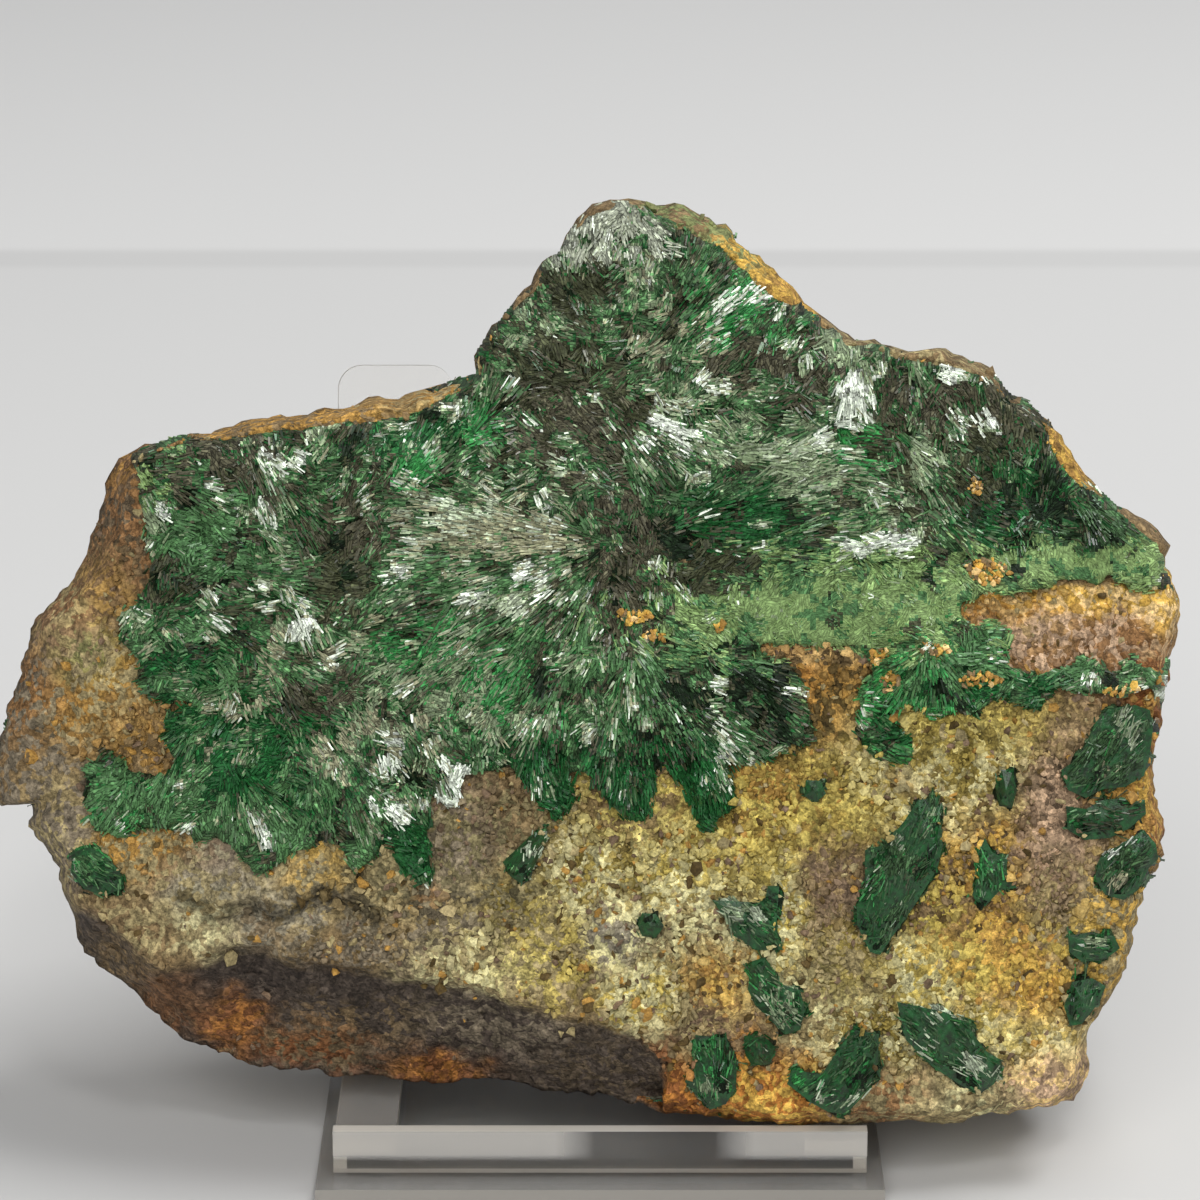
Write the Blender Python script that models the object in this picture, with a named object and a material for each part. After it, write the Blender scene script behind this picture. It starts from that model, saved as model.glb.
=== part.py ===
"""A specimen of atacamite: green crystal sprays on iron-stained rock, on a clear stand.

The stone leans back on the stand. Its broad face has coordinates of its own, in millimetres:
u runs to the right, v runs up the face and w runs out of the face. An outline on the face is
given as it is seen from EYE_DISTANCE in front of the face centre, so a point that lies deeper
is spread outwards in proportion to its distance from the eye.
"""

import math
import random

import bmesh
import bpy
import numpy as np
from mathutils import Vector
from mathutils.geometry import delaunay_2d_cdt

# Placement of the face, in millimetres and degrees
FACE_LEAN = 18.0
FACE_CENTRE = (0.0, -12.5, 57.5)
EYE_DISTANCE = 450.0
GAP = 0.3
RESTING_GAP = 0.4

# The rock
BACK_DEPTH = -33.4
BACK_ROUGHNESS = 2.0
ROCK_GRID = 3.9
BACK_GRID = 8.5
ROCK_LUMPS = 0.55
ROCK_LUMP_SIZES = (4.1, 9.0)
SIDE_LUMP_SIZE = 8.0
BACK_LUMP_SIZE = 12.0
RELIEF_REACH = 6.0
SILHOUETTE_CENTRE = (0.0, -8.0)
SIDE_ROUGHNESS = 0.05
SIDE_SMOOTH_SHARE = 0.2
SIDE_STEPS = (0.2, 0.45, 0.73, 1.0)
SIDE_PROFILE = ((0.0, 1.0), (0.25, 0.995), (0.6, 0.97), (0.85, 0.93), (1.0, 0.87))

# The crust, and the blades of its sprays: their starts and ends as shares of a spray's reach,
# their widths, how far their tips rise over the crust and their roots sink into it
CRUST_THICKNESS = 1.6
THINNEST_CRUST = 0.9
CRUST_EDGE = 0.95
CRUST_LUMPS = 0.45
CRUST_LUMP_SIZE = 2.9
BLADE_START = (0.18, 0.5)
BLADE_END = (0.78, 1.0)
BLADE_WIDTH = (1.3, 2.2)
BLADE_RISE = (0.5, 1.1)
BLADE_SINK = 0.1
BLADE_SCATTER = 0.06
BLADE_CLEARANCE = 0.9
BLADE_SHOULDERS = ((0.16, 0.8), (0.72, 1.0))

# The separate groups: heights of their edges, of their tops and of their crests
GROUP_EDGE = 0.6
GROUP_TOP = 1.19
GROUP_HEIGHT = 1.7
GROUP_HEIGHT_SPREAD = 0.25

# The stand
SHELF_TOP = 5.0
PLATE = 1.5
BASE_HALF_WIDTH = 28.5
BASE_HALF_DEPTH = 31.0
ARM_INNER = 20.6
ARM_OUTER = 26.8
ARM_FRONT = -26.4
ARM_BACK_GAP = 0.5
UPRIGHT_INNER = 15.9
UPRIGHT_OUTER = 28.3
UPRIGHT_TOP = 25.4
UPRIGHT_ROUND = 2.6
UPRIGHT_ROUND_STEPS = 6
UPRIGHT_DEPTH = -36.0
RAIL_LOW = 2.1
RAIL_HIGH = 6.6
FOOT_WIDTH = 1.3
FOOT_DEPTH = 3.0

# Silhouette of the rock, clockwise from the left tip, in stretches: depth of the rim at the
# start and at the end of the stretch, and its points on the face
SILHOUETTE = {
    "left_flank": (-12.0, -9.0, (
        (-61.4, -17.4), (-60.3, -13.4), (-58.8, -10.0), (-58.0, -7.5), (-57.6, -5.4), (-56.3, -1.8),
        (-54.8, 0.0), (-52.8, 1.8), (-51.4, 4.0), (-51.0, 7.0), (-50.0, 9.2), (-49.3, 12.2),
        (-47.8, 14.2))),
    "top_left_slope": (-9.0, -15.0, (
        (-45.8, 15.4), (-43.5, 16.2), (-41.0, 16.9), (-37.8, 17.1), (-33.8, 18.1), (-30.5, 18.7),
        (-27.0, 19.0), (-25.0, 19.8), (-22.5, 20.4), (-20.0, 20.4), (-17.0, 21.3), (-14.5, 22.2),
        (-12.3, 22.8))),
    "peak_left": (-6.0, -9.5, (
        (-12.6, 24.0), (-12.3, 25.2), (-11.2, 27.0), (-9.8, 28.6), (-8.5, 30.2), (-6.9, 31.4),
        (-6.0, 33.8), (-4.2, 35.0), (-3.0, 37.2), (-1.5, 38.8), (0.2, 39.8))),
    "peak_right": (-9.5, -12.0, (
        (2.5, 40.1), (5.0, 40.0), (8.0, 39.4), (11.0, 38.6), (12.8, 37.5), (14.2, 36.0),
        (16.8, 33.5), (19.3, 31.0), (20.8, 29.2), (23.2, 27.7), (24.6, 26.3))),
    "shoulder": (-9.0, -8.0, (
        (27.0, 25.9), (30.5, 25.0), (34.5, 25.2), (37.0, 24.0), (39.5, 22.9), (41.2, 20.6),
        (43.0, 19.9), (45.2, 17.8), (46.2, 16.0), (47.5, 14.5), (48.6, 12.2), (50.5, 10.8),
        (53.5, 8.2), (55.8, 6.8), (56.8, 5.3))),
    "right_side": (-7.0, -7.0, (
        (56.6, 3.6), (57.4, 1.5), (58.2, -1.0), (57.8, -3.5), (57.0, -7.0), (56.3, -11.0),
        (55.8, -15.5), (55.4, -19.5), (56.3, -23.0), (56.8, -25.5), (55.3, -28.0), (53.8, -31.2),
        (53.1, -35.0), (52.3, -38.0), (50.4, -40.8), (49.0, -44.0), (48.6, -47.2), (47.0, -49.8))),
    "foot": (-5.0, -4.5, (
        (45.0, -51.0), (40.5, -51.1), (37.5, -52.0), (34.5, -52.6), (31.5, -52.0), (27.0, -52.5),
        (22.5, -52.5), (18.5, -53.0), (15.0, -52.2), (10.5, -52.0), (7.0, -51.4))),
    "undercut": (-7.0, -14.0, (
        (3.0, -50.3), (-2.5, -49.6), (-8.0, -48.8), (-12.0, -47.9), (-16.0, -48.5), (-21.0, -48.3),
        (-24.5, -47.5), (-29.0, -47.1), (-34.0, -46.4), (-38.5, -45.7), (-41.0, -44.2),
        (-44.0, -41.8), (-46.0, -39.8), (-49.0, -37.6))),
    "left_corner": (-13.0, -12.0, (
        (-51.5, -34.8), (-52.9, -32.0), (-54.0, -28.5), (-55.3, -24.8), (-57.0, -22.2),
        (-57.4, -20.4), (-60.0, -20.4))),
}

# The broken edge below which the lower left face falls back, from left to right
UNDERCUT_EDGE = (
    (-52.2, -30.2), (-50.2, -31.2), (-47.2, -34.0), (-44.5, -36.8), (-41.5, -36.5), (-37.0, -34.5),
    (-34.0, -34.2), (-30.0, -35.8), (-22.0, -36.5), (-17.0, -37.5), (-12.0, -38.2), (-8.0, -40.0),
    (-4.0, -41.5), (0.0, -42.2), (4.0, -43.5), (6.4, -46.0))

# Hills and hollows of the rock's face: u, v and depth
RELIEF = (
    (-45, 14, -4.0), (-30, 16, -2.0), (-20, 17, -1.5), (-13, 20, -2.5), (-46, 5, -3.5),
    (-40, 8, -1.0), (-30, 6, 0.2), (-20, 8, 0.8), (-10, 10, 0.4), (-40, -3, -0.8), (-30, -4, 0.8),
    (-20, -3, 1.4), (-10, -2, 1.2), (-47, -8, -3.0), (-38, -12, 0.2), (-28, -14, 1.4),
    (-18, -13, 1.6), (-8, -11, 1.4), (0, 2, 0.6), (8, 4, -0.8), (0, 12, 0.2), (-8, 20, -1.2),
    (0, 22, -1.0), (10, 20, -0.8), (-9, 28, -4.2), (0, 30, -3.2), (9, 30, -3.0), (2, 37, -7.0),
    (10, 36, -6.0), (18, 28, -5.0), (20, 18, -0.8), (30, 20, -1.5), (38, 19, -4.0), (44, 15, -5.0),
    (20, 9, 0.6), (30, 9, 0.2), (38, 9, -2.0), (46, 9, -4.2), (54, 5, -5.0), (14, 1, 1.2),
    (25, 1, 1.4), (34, 2, 0.4), (44, 2, -2.6), (54, 1.5, -4.2), (16, -3.5, 2.8), (26, -3.5, 3.0),
    (36, -3, 2.2), (44, -2.5, 1.0), (55, -2.5, -1.5), (44, -7, 1.8), (55, -7, -1.0), (18, -9, 0.8),
    (24, -10, 0.8), (33, -9, 2.4), (5, -9, 1.8), (8, -18, 2.2), (18, -17, 1.6), (28, -16, 2.4),
    (38, -15, 2.6), (46, -14, 1.6), (54, -14, -1.4), (-50, -16, -5.0), (-56, -12, -9.0),
    (-58, -17, -11.0), (-55, -20, -9.0), (-51, -24, -6.0), (-46, -24, -3.6), (-38, -24, 0.0),
    (-28, -24, 1.6), (-18, -24, 2.2), (-8, -24, 2.4), (2, -27, 2.6), (-50, 2, -6.0),
    (-52, -5, -7.0), (-48, 11, -6.5), (-46, -30, -4.0), (-38, -30, -0.6), (-28, -31, 1.0),
    (-18, -33, 2.0), (-8, -34, 2.6), (2, -36, 2.8), (12, -28, 2.4), (22, -27, 2.8), (32, -28, 3.2),
    (42, -26, 2.4), (51, -25, -0.6), (12, -38, 2.2), (22, -38, 2.8), (32, -38, 2.6), (42, -38, 0.8),
    (50, -36, -3.0), (10, -47, -0.6), (20, -47, 0.4), (30, -47, 0.4), (40, -47, -1.2),
    (46, -45, -3.4))

# Edge of the green crust on the face, clockwise from its upper left corner
CRUST_EDGE_LINE = (
    (-45.3, 14.5), (-42.0, 15.7), (-37.8, 16.4), (-33.8, 16.9), (-31.0, 17.2), (-28.0, 17.5),
    (-25.5, 18.0), (-22.0, 18.0), (-18.5, 18.7), (-16.0, 20.0), (-14.3, 20.8), (-12.9, 21.7),
    (-11.8, 22.9), (-12.0, 24.2), (-11.6, 25.3), (-10.6, 26.8), (-9.2, 28.3), (-7.9, 29.8),
    (-6.3, 31.0), (-5.4, 33.5), (-3.7, 34.6), (-2.5, 36.8), (-1.1, 38.2), (0.5, 39.1), (2.6, 39.4),
    (4.7, 39.2), (6.8, 38.1), (8.5, 37.0), (11.5, 35.6), (14.0, 33.2), (15.5, 31.8), (17.0, 30.5),
    (19.0, 29.7), (20.4, 28.5), (22.8, 27.0), (24.3, 25.5), (27.0, 25.2), (29.0, 24.6),
    (33.0, 24.0), (36.0, 23.0), (38.8, 21.9), (40.5, 20.1), (42.5, 19.2), (44.4, 17.4),
    (45.0, 15.4), (46.1, 13.4), (47.8, 11.6), (50.1, 10.2), (53.1, 7.6), (55.2, 6.2), (56.1, 5.0),
    (56.0, 3.5), (56.6, 1.4), (55.0, 1.0), (52.5, 1.5), (51.0, 2.2), (49.0, 1.7), (46.0, 1.6),
    (43.0, 1.0), (41.0, 0.4), (39.0, 0.8), (36.3, 0.0), (36.0, -1.4), (37.5, -2.2), (40.0, -2.6),
    (41.2, -3.5), (40.3, -5.4), (41.8, -6.7), (43.8, -7.2), (46.2, -6.7), (48.0, -5.5),
    (49.8, -6.1), (50.8, -7.2), (52.0, -6.8), (53.0, -5.6), (54.7, -6.4), (56.0, -7.4),
    (55.4, -9.0), (52.5, -9.5), (49.0, -9.2), (46.0, -9.0), (44.3, -10.0), (44.3, -11.3),
    (42.8, -11.2), (41.2, -9.7), (39.0, -9.8), (37.8, -11.5), (34.0, -11.6), (30.5, -10.9),
    (29.2, -11.6), (31.4, -14.2), (30.8, -15.8), (28.8, -16.5), (26.8, -15.2), (25.8, -13.5),
    (25.6, -10.5), (26.3, -8.4), (27.4, -6.8), (27.0, -5.2), (25.0, -4.6), (21.0, -4.7),
    (17.0, -4.4), (15.5, -5.4), (19.0, -6.3), (20.6, -8.2), (20.4, -10.4), (21.5, -13.7),
    (20.3, -14.6), (17.0, -15.8), (13.0, -16.8), (13.5, -20.0), (11.6, -23.1), (10.0, -22.5),
    (8.6, -19.5), (7.6, -16.2), (5.2, -16.6), (5.2, -20.0), (4.9, -22.1), (2.8, -21.5),
    (0.5, -20.5), (-1.6, -17.6), (-3.2, -17.2), (-2.6, -19.8), (-4.2, -22.1), (-6.4, -20.1),
    (-7.5, -18.0), (-9.0, -16.6), (-12.0, -17.5), (-13.9, -17.5), (-13.8, -19.6), (-14.8, -21.1),
    (-17.0, -19.2), (-17.4, -22.6), (-16.5, -26.8), (-18.2, -28.8), (-19.7, -26.9),
    (-21.0, -24.3), (-22.5, -25.5), (-24.7, -27.4), (-26.4, -24.3), (-28.2, -24.6),
    (-32.0, -26.4), (-34.4, -27.6), (-36.0, -26.2), (-38.0, -24.0), (-42.5, -23.4),
    (-45.0, -22.3), (-47.0, -23.5), (-50.8, -23.3), (-51.4, -20.8), (-51.8, -17.2),
    (-51.0, -16.0), (-49.5, -14.6), (-47.5, -16.2), (-45.0, -17.9), (-42.6, -16.7),
    (-43.8, -14.6), (-43.0, -11.4), (-41.2, -10.5), (-45.0, -9.7), (-46.1, -8.7), (-46.2, -6.2),
    (-48.4, -3.6), (-47.8, -1.5), (-46.5, 0.0), (-45.2, 1.5), (-45.0, 3.7), (-45.5, 6.0),
    (-46.0, 11.0), (-46.7, 13.0))

# Swellings and pits of the crust: u, v, radius and height
CRUST_FORMS = (
    (-1, -6, 6, 0.8), (2.5, -18, 3, 0.9), (10.5, -18, 3, 0.8), (-23, -22, 3, 0.7), (-45, -19, 4, 0.5),
    (3, 15, 5, 0.8), (25, 22, 4, 0.8), (12, 29, 5, 0.7), (-20, 12, 5, 0.6), (-34, 14, 4, 0.5),
    (10.5, 3.2, 3.0, -1.0), (43, 10, 4.0, -0.8), (34.5, 19, 3.5, -0.7), (-4, 17, 4, -0.5),
    (-27, -9, 5, -0.5), (-26, 2, 3, -0.6), (18, 24, 4, -0.5), (33, -7, 4, 0.7), (50, -8, 3, 0.3))

# Sprays of crystals: root u, v, heading and opening in degrees, reach, and blades
SPRAYS = (
    (1.5, 5.5, 180, 44, 21, 8), (1.5, 5.5, 222, 40, 18, 6), (6.0, 7.0, 12, 40, 18, 5),
    (11.0, 14.5, -4, 18, 15, 5), (0.0, 20.0, -42, 46, 11, 6), (3.0, -4.0, 285, 60, 16, 6),
    (4.0, 24.0, 48, 34, 14, 5), (9.0, 26.0, 38, 30, 10, 3), (-3.0, 30.0, 120, 60, 7, 3),
    (-13.0, 17.0, 58, 40, 7, 3), (-22.0, 9.0, 50, 40, 9, 4), (-36.0, 16.0, 300, 30, 8, 3),
    (-33.0, 12.0, -50, 30, 8, 3), (-44.0, 12.0, -25, 30, 8, 2), (-38.0, 3.0, -10, 30, 9, 3),
    (-31.5, 1.0, -68, 20, 6, 2), (-40.0, -1.0, -18, 40, 7, 2), (-25.0, -3.0, 25, 50, 6, 2),
    (-34.0, -5.0, -40, 50, 7, 2), (-21.0, -10.0, 40, 36, 12, 4), (-27.5, -15.0, -60, 26, 9, 4),
    (-18.0, -14.0, -62, 26, 6, 2), (-40.0, -12.0, 215, 60, 7, 2), (-37.0, -16.0, 290, 60, 8, 3),
    (25.5, 24.6, 270, 40, 6, 3), (31.0, 22.5, 280, 40, 6, 2), (29.0, 17.0, -50, 30, 9, 3),
    (33.0, 8.0, -30, 30, 6, 2), (12.0, 4.5, 8, 24, 10, 3), (23.0, 4.0, 12, 20, 8, 2),
    (44.0, 10.0, 60, 60, 6, 2), (48.0, 9.0, -60, 60, 6, 2), (6.0, -9.0, 318, 30, 9, 3),
    (10.0, -5.0, -20, 30, 9, 3), (-4.0, -8.0, 250, 40, 8, 3), (1.5, -13.0, 290, 26, 7, 3),
    (9.5, -12.0, 282, 24, 9, 3), (15.0, -8.0, -35, 40, 6, 2), (-6.5, -13.0, 275, 40, 7, 2),
    (33.0, -5.0, 250, 120, 6, 4), (-47.0, -19.0, 200, 80, 4, 2))

# Crystal groups that stand apart on the rock: outline and crest points
GROUPS = {
    "left_lobe": (((-52.8, -25.2), (-51.0, -24.7), (-49.2, -25.8), (-48.0, -27.2), (-47.6, -28.8),
                   (-49.6, -29.6), (-51.6, -28.9), (-52.9, -27.3)), ((-50.4, -27.2),)),
    "small_leaf": (((-9.7, -26.2), (-7.0, -23.6), (-5.7, -23.0), (-5.3, -24.0), (-7.0, -27.5),
                    (-8.0, -28.3), (-9.0, -27.6)), ((-8.2, -26.5), (-6.4, -24.4))),
    "spot": (((4.2, -31.3), (5.6, -31.4), (6.4, -32.6), (5.6, -33.8), (4.2, -33.6), (3.8, -32.4)),
             ((5.0, -32.6),)),
    "wedge": (((11.2, -30.0), (16.4, -30.3), (16.8, -28.6), (17.9, -28.6), (17.6, -33.0),
               (18.3, -35.0), (15.5, -35.0), (13.5, -33.5), (12.6, -32.0)),
              ((14.0, -31.6), (16.6, -33.4))),
    "drop": (((15.0, -36.2), (16.5, -35.7), (18.2, -38.5), (20.0, -39.0), (20.5, -41.0),
              (20.0, -43.0), (18.5, -43.5), (15.5, -40.5), (14.8, -39.0)),
             ((16.4, -38.0), (18.6, -41.2))),
    "long_blade": (((30.5, -22.0), (31.8, -20.0), (33.8, -19.7), (34.3, -24.5), (33.7, -27.0),
                    (31.5, -30.5), (29.0, -34.0), (28.0, -35.5), (27.0, -35.2), (25.7, -32.5),
                    (25.7, -30.5), (26.5, -28.5), (26.5, -25.0), (28.5, -24.5)),
                   ((28.2, -31.5), (30.2, -27.5), (32.2, -23.5))),
    "star": (((38.5, -23.8), (39.2, -25.2), (40.8, -26.0), (40.5, -27.0), (41.7, -28.8),
              (40.0, -29.0), (38.5, -30.7), (37.2, -29.5), (37.8, -28.0), (37.5, -26.0)),
             ((39.0, -27.6),)),
    "small_bud": (((40.2, -17.0), (41.2, -17.3), (41.7, -19.0), (41.2, -20.8), (39.9, -20.6),
                   (39.5, -18.6)), ((40.6, -19.0),)),
    "round_bud": (((20.6, -18.0), (22.1, -18.1), (22.6, -19.4), (21.6, -20.2), (20.4, -19.6)),
                  ((21.4, -19.0),)),
    "foot_group_left": (((9.5, -43.5), (12.6, -43.8), (13.7, -46.0), (13.6, -48.8), (12.6, -50.4),
                         (11.0, -51.0), (8.5, -48.2), (9.6, -45.6)), ((11.6, -47.4), (11.2, -45.2))),
    "foot_group_small": (((14.4, -43.6), (16.2, -43.4), (17.6, -44.8), (17.0, -46.4), (15.2, -46.6),
                          (14.5, -45.4)), ((15.9, -45.0),)),
    "foot_group_forked": (((25.5, -43.0), (27.9, -43.4), (27.8, -46.0), (27.0, -48.5),
                           (25.5, -50.5), (24.3, -51.4), (22.8, -51.2), (21.2, -50.3),
                           (18.7, -48.4), (19.2, -47.0), (22.2, -47.4), (24.2, -44.4)),
                          ((25.8, -46.4), (24.0, -49.2))),
    "large_leaf": (((29.7, -40.2), (34.5, -41.2), (36.5, -42.2), (38.5, -45.0), (40.4, -46.2),
                    (39.4, -48.4), (38.0, -49.4), (36.0, -48.5), (33.0, -46.5), (30.6, -44.0)),
                   ((32.4, -42.8), (35.4, -45.0), (38.2, -47.2))),
    "low_group_upper": (((46.8, -33.6), (49.0, -33.2), (51.4, -33.6), (52.0, -34.8), (50.6, -35.9),
                         (48.2, -36.2), (46.9, -35.2)), ((49.4, -34.6),)),
    "low_group_lower": (((47.2, -38.2), (49.2, -37.8), (50.6, -38.6), (49.6, -40.6),
                         (48.2, -42.4), (47.0, -42.6), (46.4, -40.6)), ((48.2, -40.0),)),
    "knob_upper": (((50.8, -10.9), (53.5, -10.5), (55.0, -11.0), (55.3, -12.8), (55.0, -15.5),
                    (54.4, -17.6), (52.5, -18.7), (50.3, -18.9), (48.6, -19.8), (46.8, -19.0),
                    (46.1, -17.0), (47.6, -16.0), (48.6, -14.4), (49.6, -12.2)),
                   ((52.4, -13.6), (50.0, -16.8), (53.2, -16.4))),
    "knob_middle": (((46.6, -20.6), (48.6, -20.9), (50.2, -20.0), (53.0, -19.7), (54.5, -20.0),
                     (54.6, -21.4), (53.0, -22.8), (51.0, -23.8), (48.5, -24.0), (46.8, -23.0)),
                    ((50.6, -21.9), (52.8, -21.2))),
    "knob_lower": (((52.4, -24.2), (54.4, -23.0), (55.6, -24.4), (55.8, -25.8), (54.8, -26.9),
                    (53.8, -29.0), (52.4, -30.0), (50.5, -29.5), (49.5, -27.8), (50.0, -25.8)),
                   ((53.6, -25.6), (52.0, -27.6))),
}

# Surface colours (red, green, blue), roughness and metallic value
FINISHES = {
    "rock": ((0.30, 0.21, 0.09), 0.9, 0.0),
    "atacamite": ((0.04, 0.16, 0.06), 0.35, 0.0),
    "clear_acrylic": ((0.85, 0.87, 0.86), 0.05, 0.0),
}

LEAN_SINE = math.sin(math.radians(FACE_LEAN))
LEAN_COSINE = math.cos(math.radians(FACE_LEAN))
MILLIMETRE = 0.001


def clear_scene():
    """Remove whatever the scene holds."""
    for item in list(bpy.data.objects):
        bpy.data.objects.remove(item, do_unlink=True)


def finish(name):
    """Principled material with the colour, roughness and metallic value of FINISHES."""
    material = bpy.data.materials.get(name)
    if material:
        return material
    colour, roughness, metallic = FINISHES[name]
    material = bpy.data.materials.new(name)
    material.use_nodes = True
    shader = material.node_tree.nodes["Principled BSDF"]
    shader.inputs["Base Color"].default_value = (*colour, 1.0)
    shader.inputs["Roughness"].default_value = roughness
    shader.inputs["Metallic"].default_value = metallic
    return material


def lumps(places, cell, seed):
    """Smooth random hills from -1 to 1: values hashed at the corners of a lattice, blended."""
    scaled = np.asarray(places, float) / cell
    low = np.floor(scaled).astype(np.int64)
    part = scaled - low
    part = part * part * (3.0 - 2.0 * part)
    total = np.zeros(len(scaled))
    for corner in range(8):
        offset = np.array((corner & 1, corner >> 1 & 1, corner >> 2 & 1))
        key = (low + offset + 4096) * np.array((73856093, 19349663, 83492791))
        mixed = (key[:, 0] ^ key[:, 1] ^ key[:, 2] ^ (seed * 2654435761)) & 0xFFFFFFFF
        mixed = ((mixed ^ (mixed >> 13)) * 1274126177) & 0xFFFFFFFF
        value = ((mixed ^ (mixed >> 16)) & 0xFFFF) / 32767.5 - 1.0
        weight = np.prod(np.where(offset, part, 1.0 - part), axis=1)
        total += value * weight
    return total


def face_lumps(u, v, cell, seed):
    """Random hills over the face."""
    return lumps(np.stack((u, v, np.full_like(u, 0.5)), axis=1), cell, seed)


def silhouette_points():
    """Rows of u, v and rim depth around the rock's silhouette."""
    rows = []
    for start, end, points in SILHOUETTE.values():
        for index, (u, v) in enumerate(points):
            rows.append((u, v, start + (end - start) * index / (len(points) - 1)))
    return np.array(rows)


def rock_depth(u, v):
    """Depth of the rock's face: Gaussian mean of the relief points, lumps and the undercut."""
    relief = np.array(RELIEF, float)
    squared = (u[:, None] - relief[:, 0]) ** 2 + (v[:, None] - relief[:, 1]) ** 2
    weight = np.exp(-squared / (2.0 * RELIEF_REACH ** 2)) + 1e-9
    depth = (weight * relief[:, 2]).sum(1) / weight.sum(1)
    for size, seed in zip(ROCK_LUMP_SIZES, (3, 5)):
        depth += ROCK_LUMPS * face_lumps(u, v, size, seed)
    edge = np.array(UNDERCUT_EDGE)
    start, end, points = SILHOUETTE["undercut"]
    rim = np.array([(u_rim, v_rim) for u_rim, v_rim in reversed(points)])
    edge_height = np.interp(u, edge[:, 0], edge[:, 1])
    rim_height = np.interp(u, rim[:, 0], rim[:, 1])
    rim_depth = np.interp(u, (rim[0, 0], rim[-1, 0]), (end, start))
    below = np.clip((edge_height - v) / np.maximum(edge_height - rim_height, 1.0), 0.0, 1.0)
    below = np.where((u > edge[0, 0]) & (u < edge[-1, 0]), below, 0.0)
    return depth + (rim_depth - depth) * below ** 0.75


def crust_thickness(u, v):
    """Thickness of the crust away from its edge: a mean value, swellings, pits and lumps."""
    thickness = np.full(len(u), CRUST_THICKNESS)
    for centre_u, centre_v, radius, height in CRUST_FORMS:
        squared = (u - centre_u) ** 2 + (v - centre_v) ** 2
        thickness += height * np.exp(-squared / (2.0 * radius ** 2))
    thickness += CRUST_LUMPS * face_lumps(u, v, CRUST_LUMP_SIZE, 11)
    return np.maximum(thickness, THINNEST_CRUST)


def to_world(u, v, w):
    """Place a point seen at u, v on the face, w deep, in the world, in metres."""
    spread = (EYE_DISTANCE - w) / EYE_DISTANCE
    right = u * spread
    up = v * spread
    lowest = (SHELF_TOP + RESTING_GAP - FACE_CENTRE[2] - w * LEAN_SINE) / LEAN_COSINE
    return face_to_world(right, max(up, lowest), w)


def face_to_world(right, up, out):
    """Turn true face coordinates in millimetres into world coordinates in metres."""
    return Vector((FACE_CENTRE[0] + right,
                   FACE_CENTRE[1] + up * LEAN_SINE - out * LEAN_COSINE,
                   FACE_CENTRE[2] + up * LEAN_COSINE + out * LEAN_SINE)) * MILLIMETRE


def inside(loop, u, v):
    """Whether each point lies inside a closed line, by counting the crossings to its right."""
    loop = np.asarray(loop, float)
    after = np.roll(loop, -1, axis=0)
    odd = np.zeros(len(u), bool)
    for (u_a, v_a), (u_b, v_b) in zip(loop, after):
        if v_a == v_b:
            continue
        between = (v_a > v) != (v_b > v)
        odd ^= between & (u < (u_b - u_a) * (v - v_a) / (v_b - v_a) + u_a)
    return odd


def clearance(loop, u, v, closed=True):
    """Distance from each point to a line of segments."""
    loop = np.asarray(loop, float)
    after = np.roll(loop, -1, axis=0)
    nearest = np.full(len(u), 1e9)
    for (u_a, v_a), (u_b, v_b) in list(zip(loop, after))[:len(loop) if closed else -1]:
        length = max((u_b - u_a) ** 2 + (v_b - v_a) ** 2, 1e-9)
        along = np.clip(((u - u_a) * (u_b - u_a) + (v - v_a) * (v_b - v_a)) / length, 0.0, 1.0)
        gap = np.hypot(u - u_a - along * (u_b - u_a), v - v_a - along * (v_b - v_a))
        nearest = np.minimum(nearest, gap)
    return nearest


def scattered(loop, spacing, keep_off, seed):
    """Jittered triangular lattice inside a closed line, clear of every line in keep_off."""
    loop = np.asarray(loop, float)
    low, high = loop.min(0), loop.max(0)
    rows = np.arange(low[1], high[1], spacing * 0.866)
    columns = np.arange(low[0], high[0], spacing)
    u, v = np.meshgrid(columns, rows)
    u = u + (np.arange(len(rows)) % 2)[:, None] * spacing / 2.0
    chance = np.random.default_rng(seed)
    u = (u + chance.uniform(-0.24, 0.24, u.shape) * spacing).ravel()
    v = (v + chance.uniform(-0.24, 0.24, v.shape) * spacing).ravel()
    keep = inside(loop, u, v)
    for line, closed in keep_off:
        keep &= clearance(line, u, v, closed) > spacing * 0.5
    return np.stack((u[keep], v[keep]), axis=1)


def triangulate(loose, lines):
    """Delaunay triangles through loose points and along closed or open lines."""
    points = [Vector(p) for p in loose]
    edges = []
    for line, closed in lines:
        first = len(points)
        points += [Vector(p) for p in line]
        count = len(line)
        for index in range(count if closed else count - 1):
            edges.append((first + index, first + (index + 1) % count))
    verts, _, faces, _, _, _ = delaunay_2d_cdt(points, edges, [], 0, 1e-6)
    return np.array([tuple(p) for p in verts]), [tuple(f) for f in faces]


def within(verts, faces, loop):
    """The triangles whose middle lies inside a closed line."""
    middles = np.array([verts[list(f)].mean(0) for f in faces])
    chosen = inside(loop, middles[:, 0], middles[:, 1])
    return [f for f, keep in zip(faces, chosen) if keep]


def rim_loop(faces):
    """Ordered boundary of a patch of triangles that turn anticlockwise, same turn."""
    after = {}
    owned = {(a, b) for f in faces for a, b in zip(f, f[1:] + f[:1])}
    for a, b in owned:
        if (b, a) not in owned:
            after[a] = b
    start = min(after)
    loop = [start]
    while after[loop[-1]] != start:
        loop.append(after[loop[-1]])
    return loop


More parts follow.
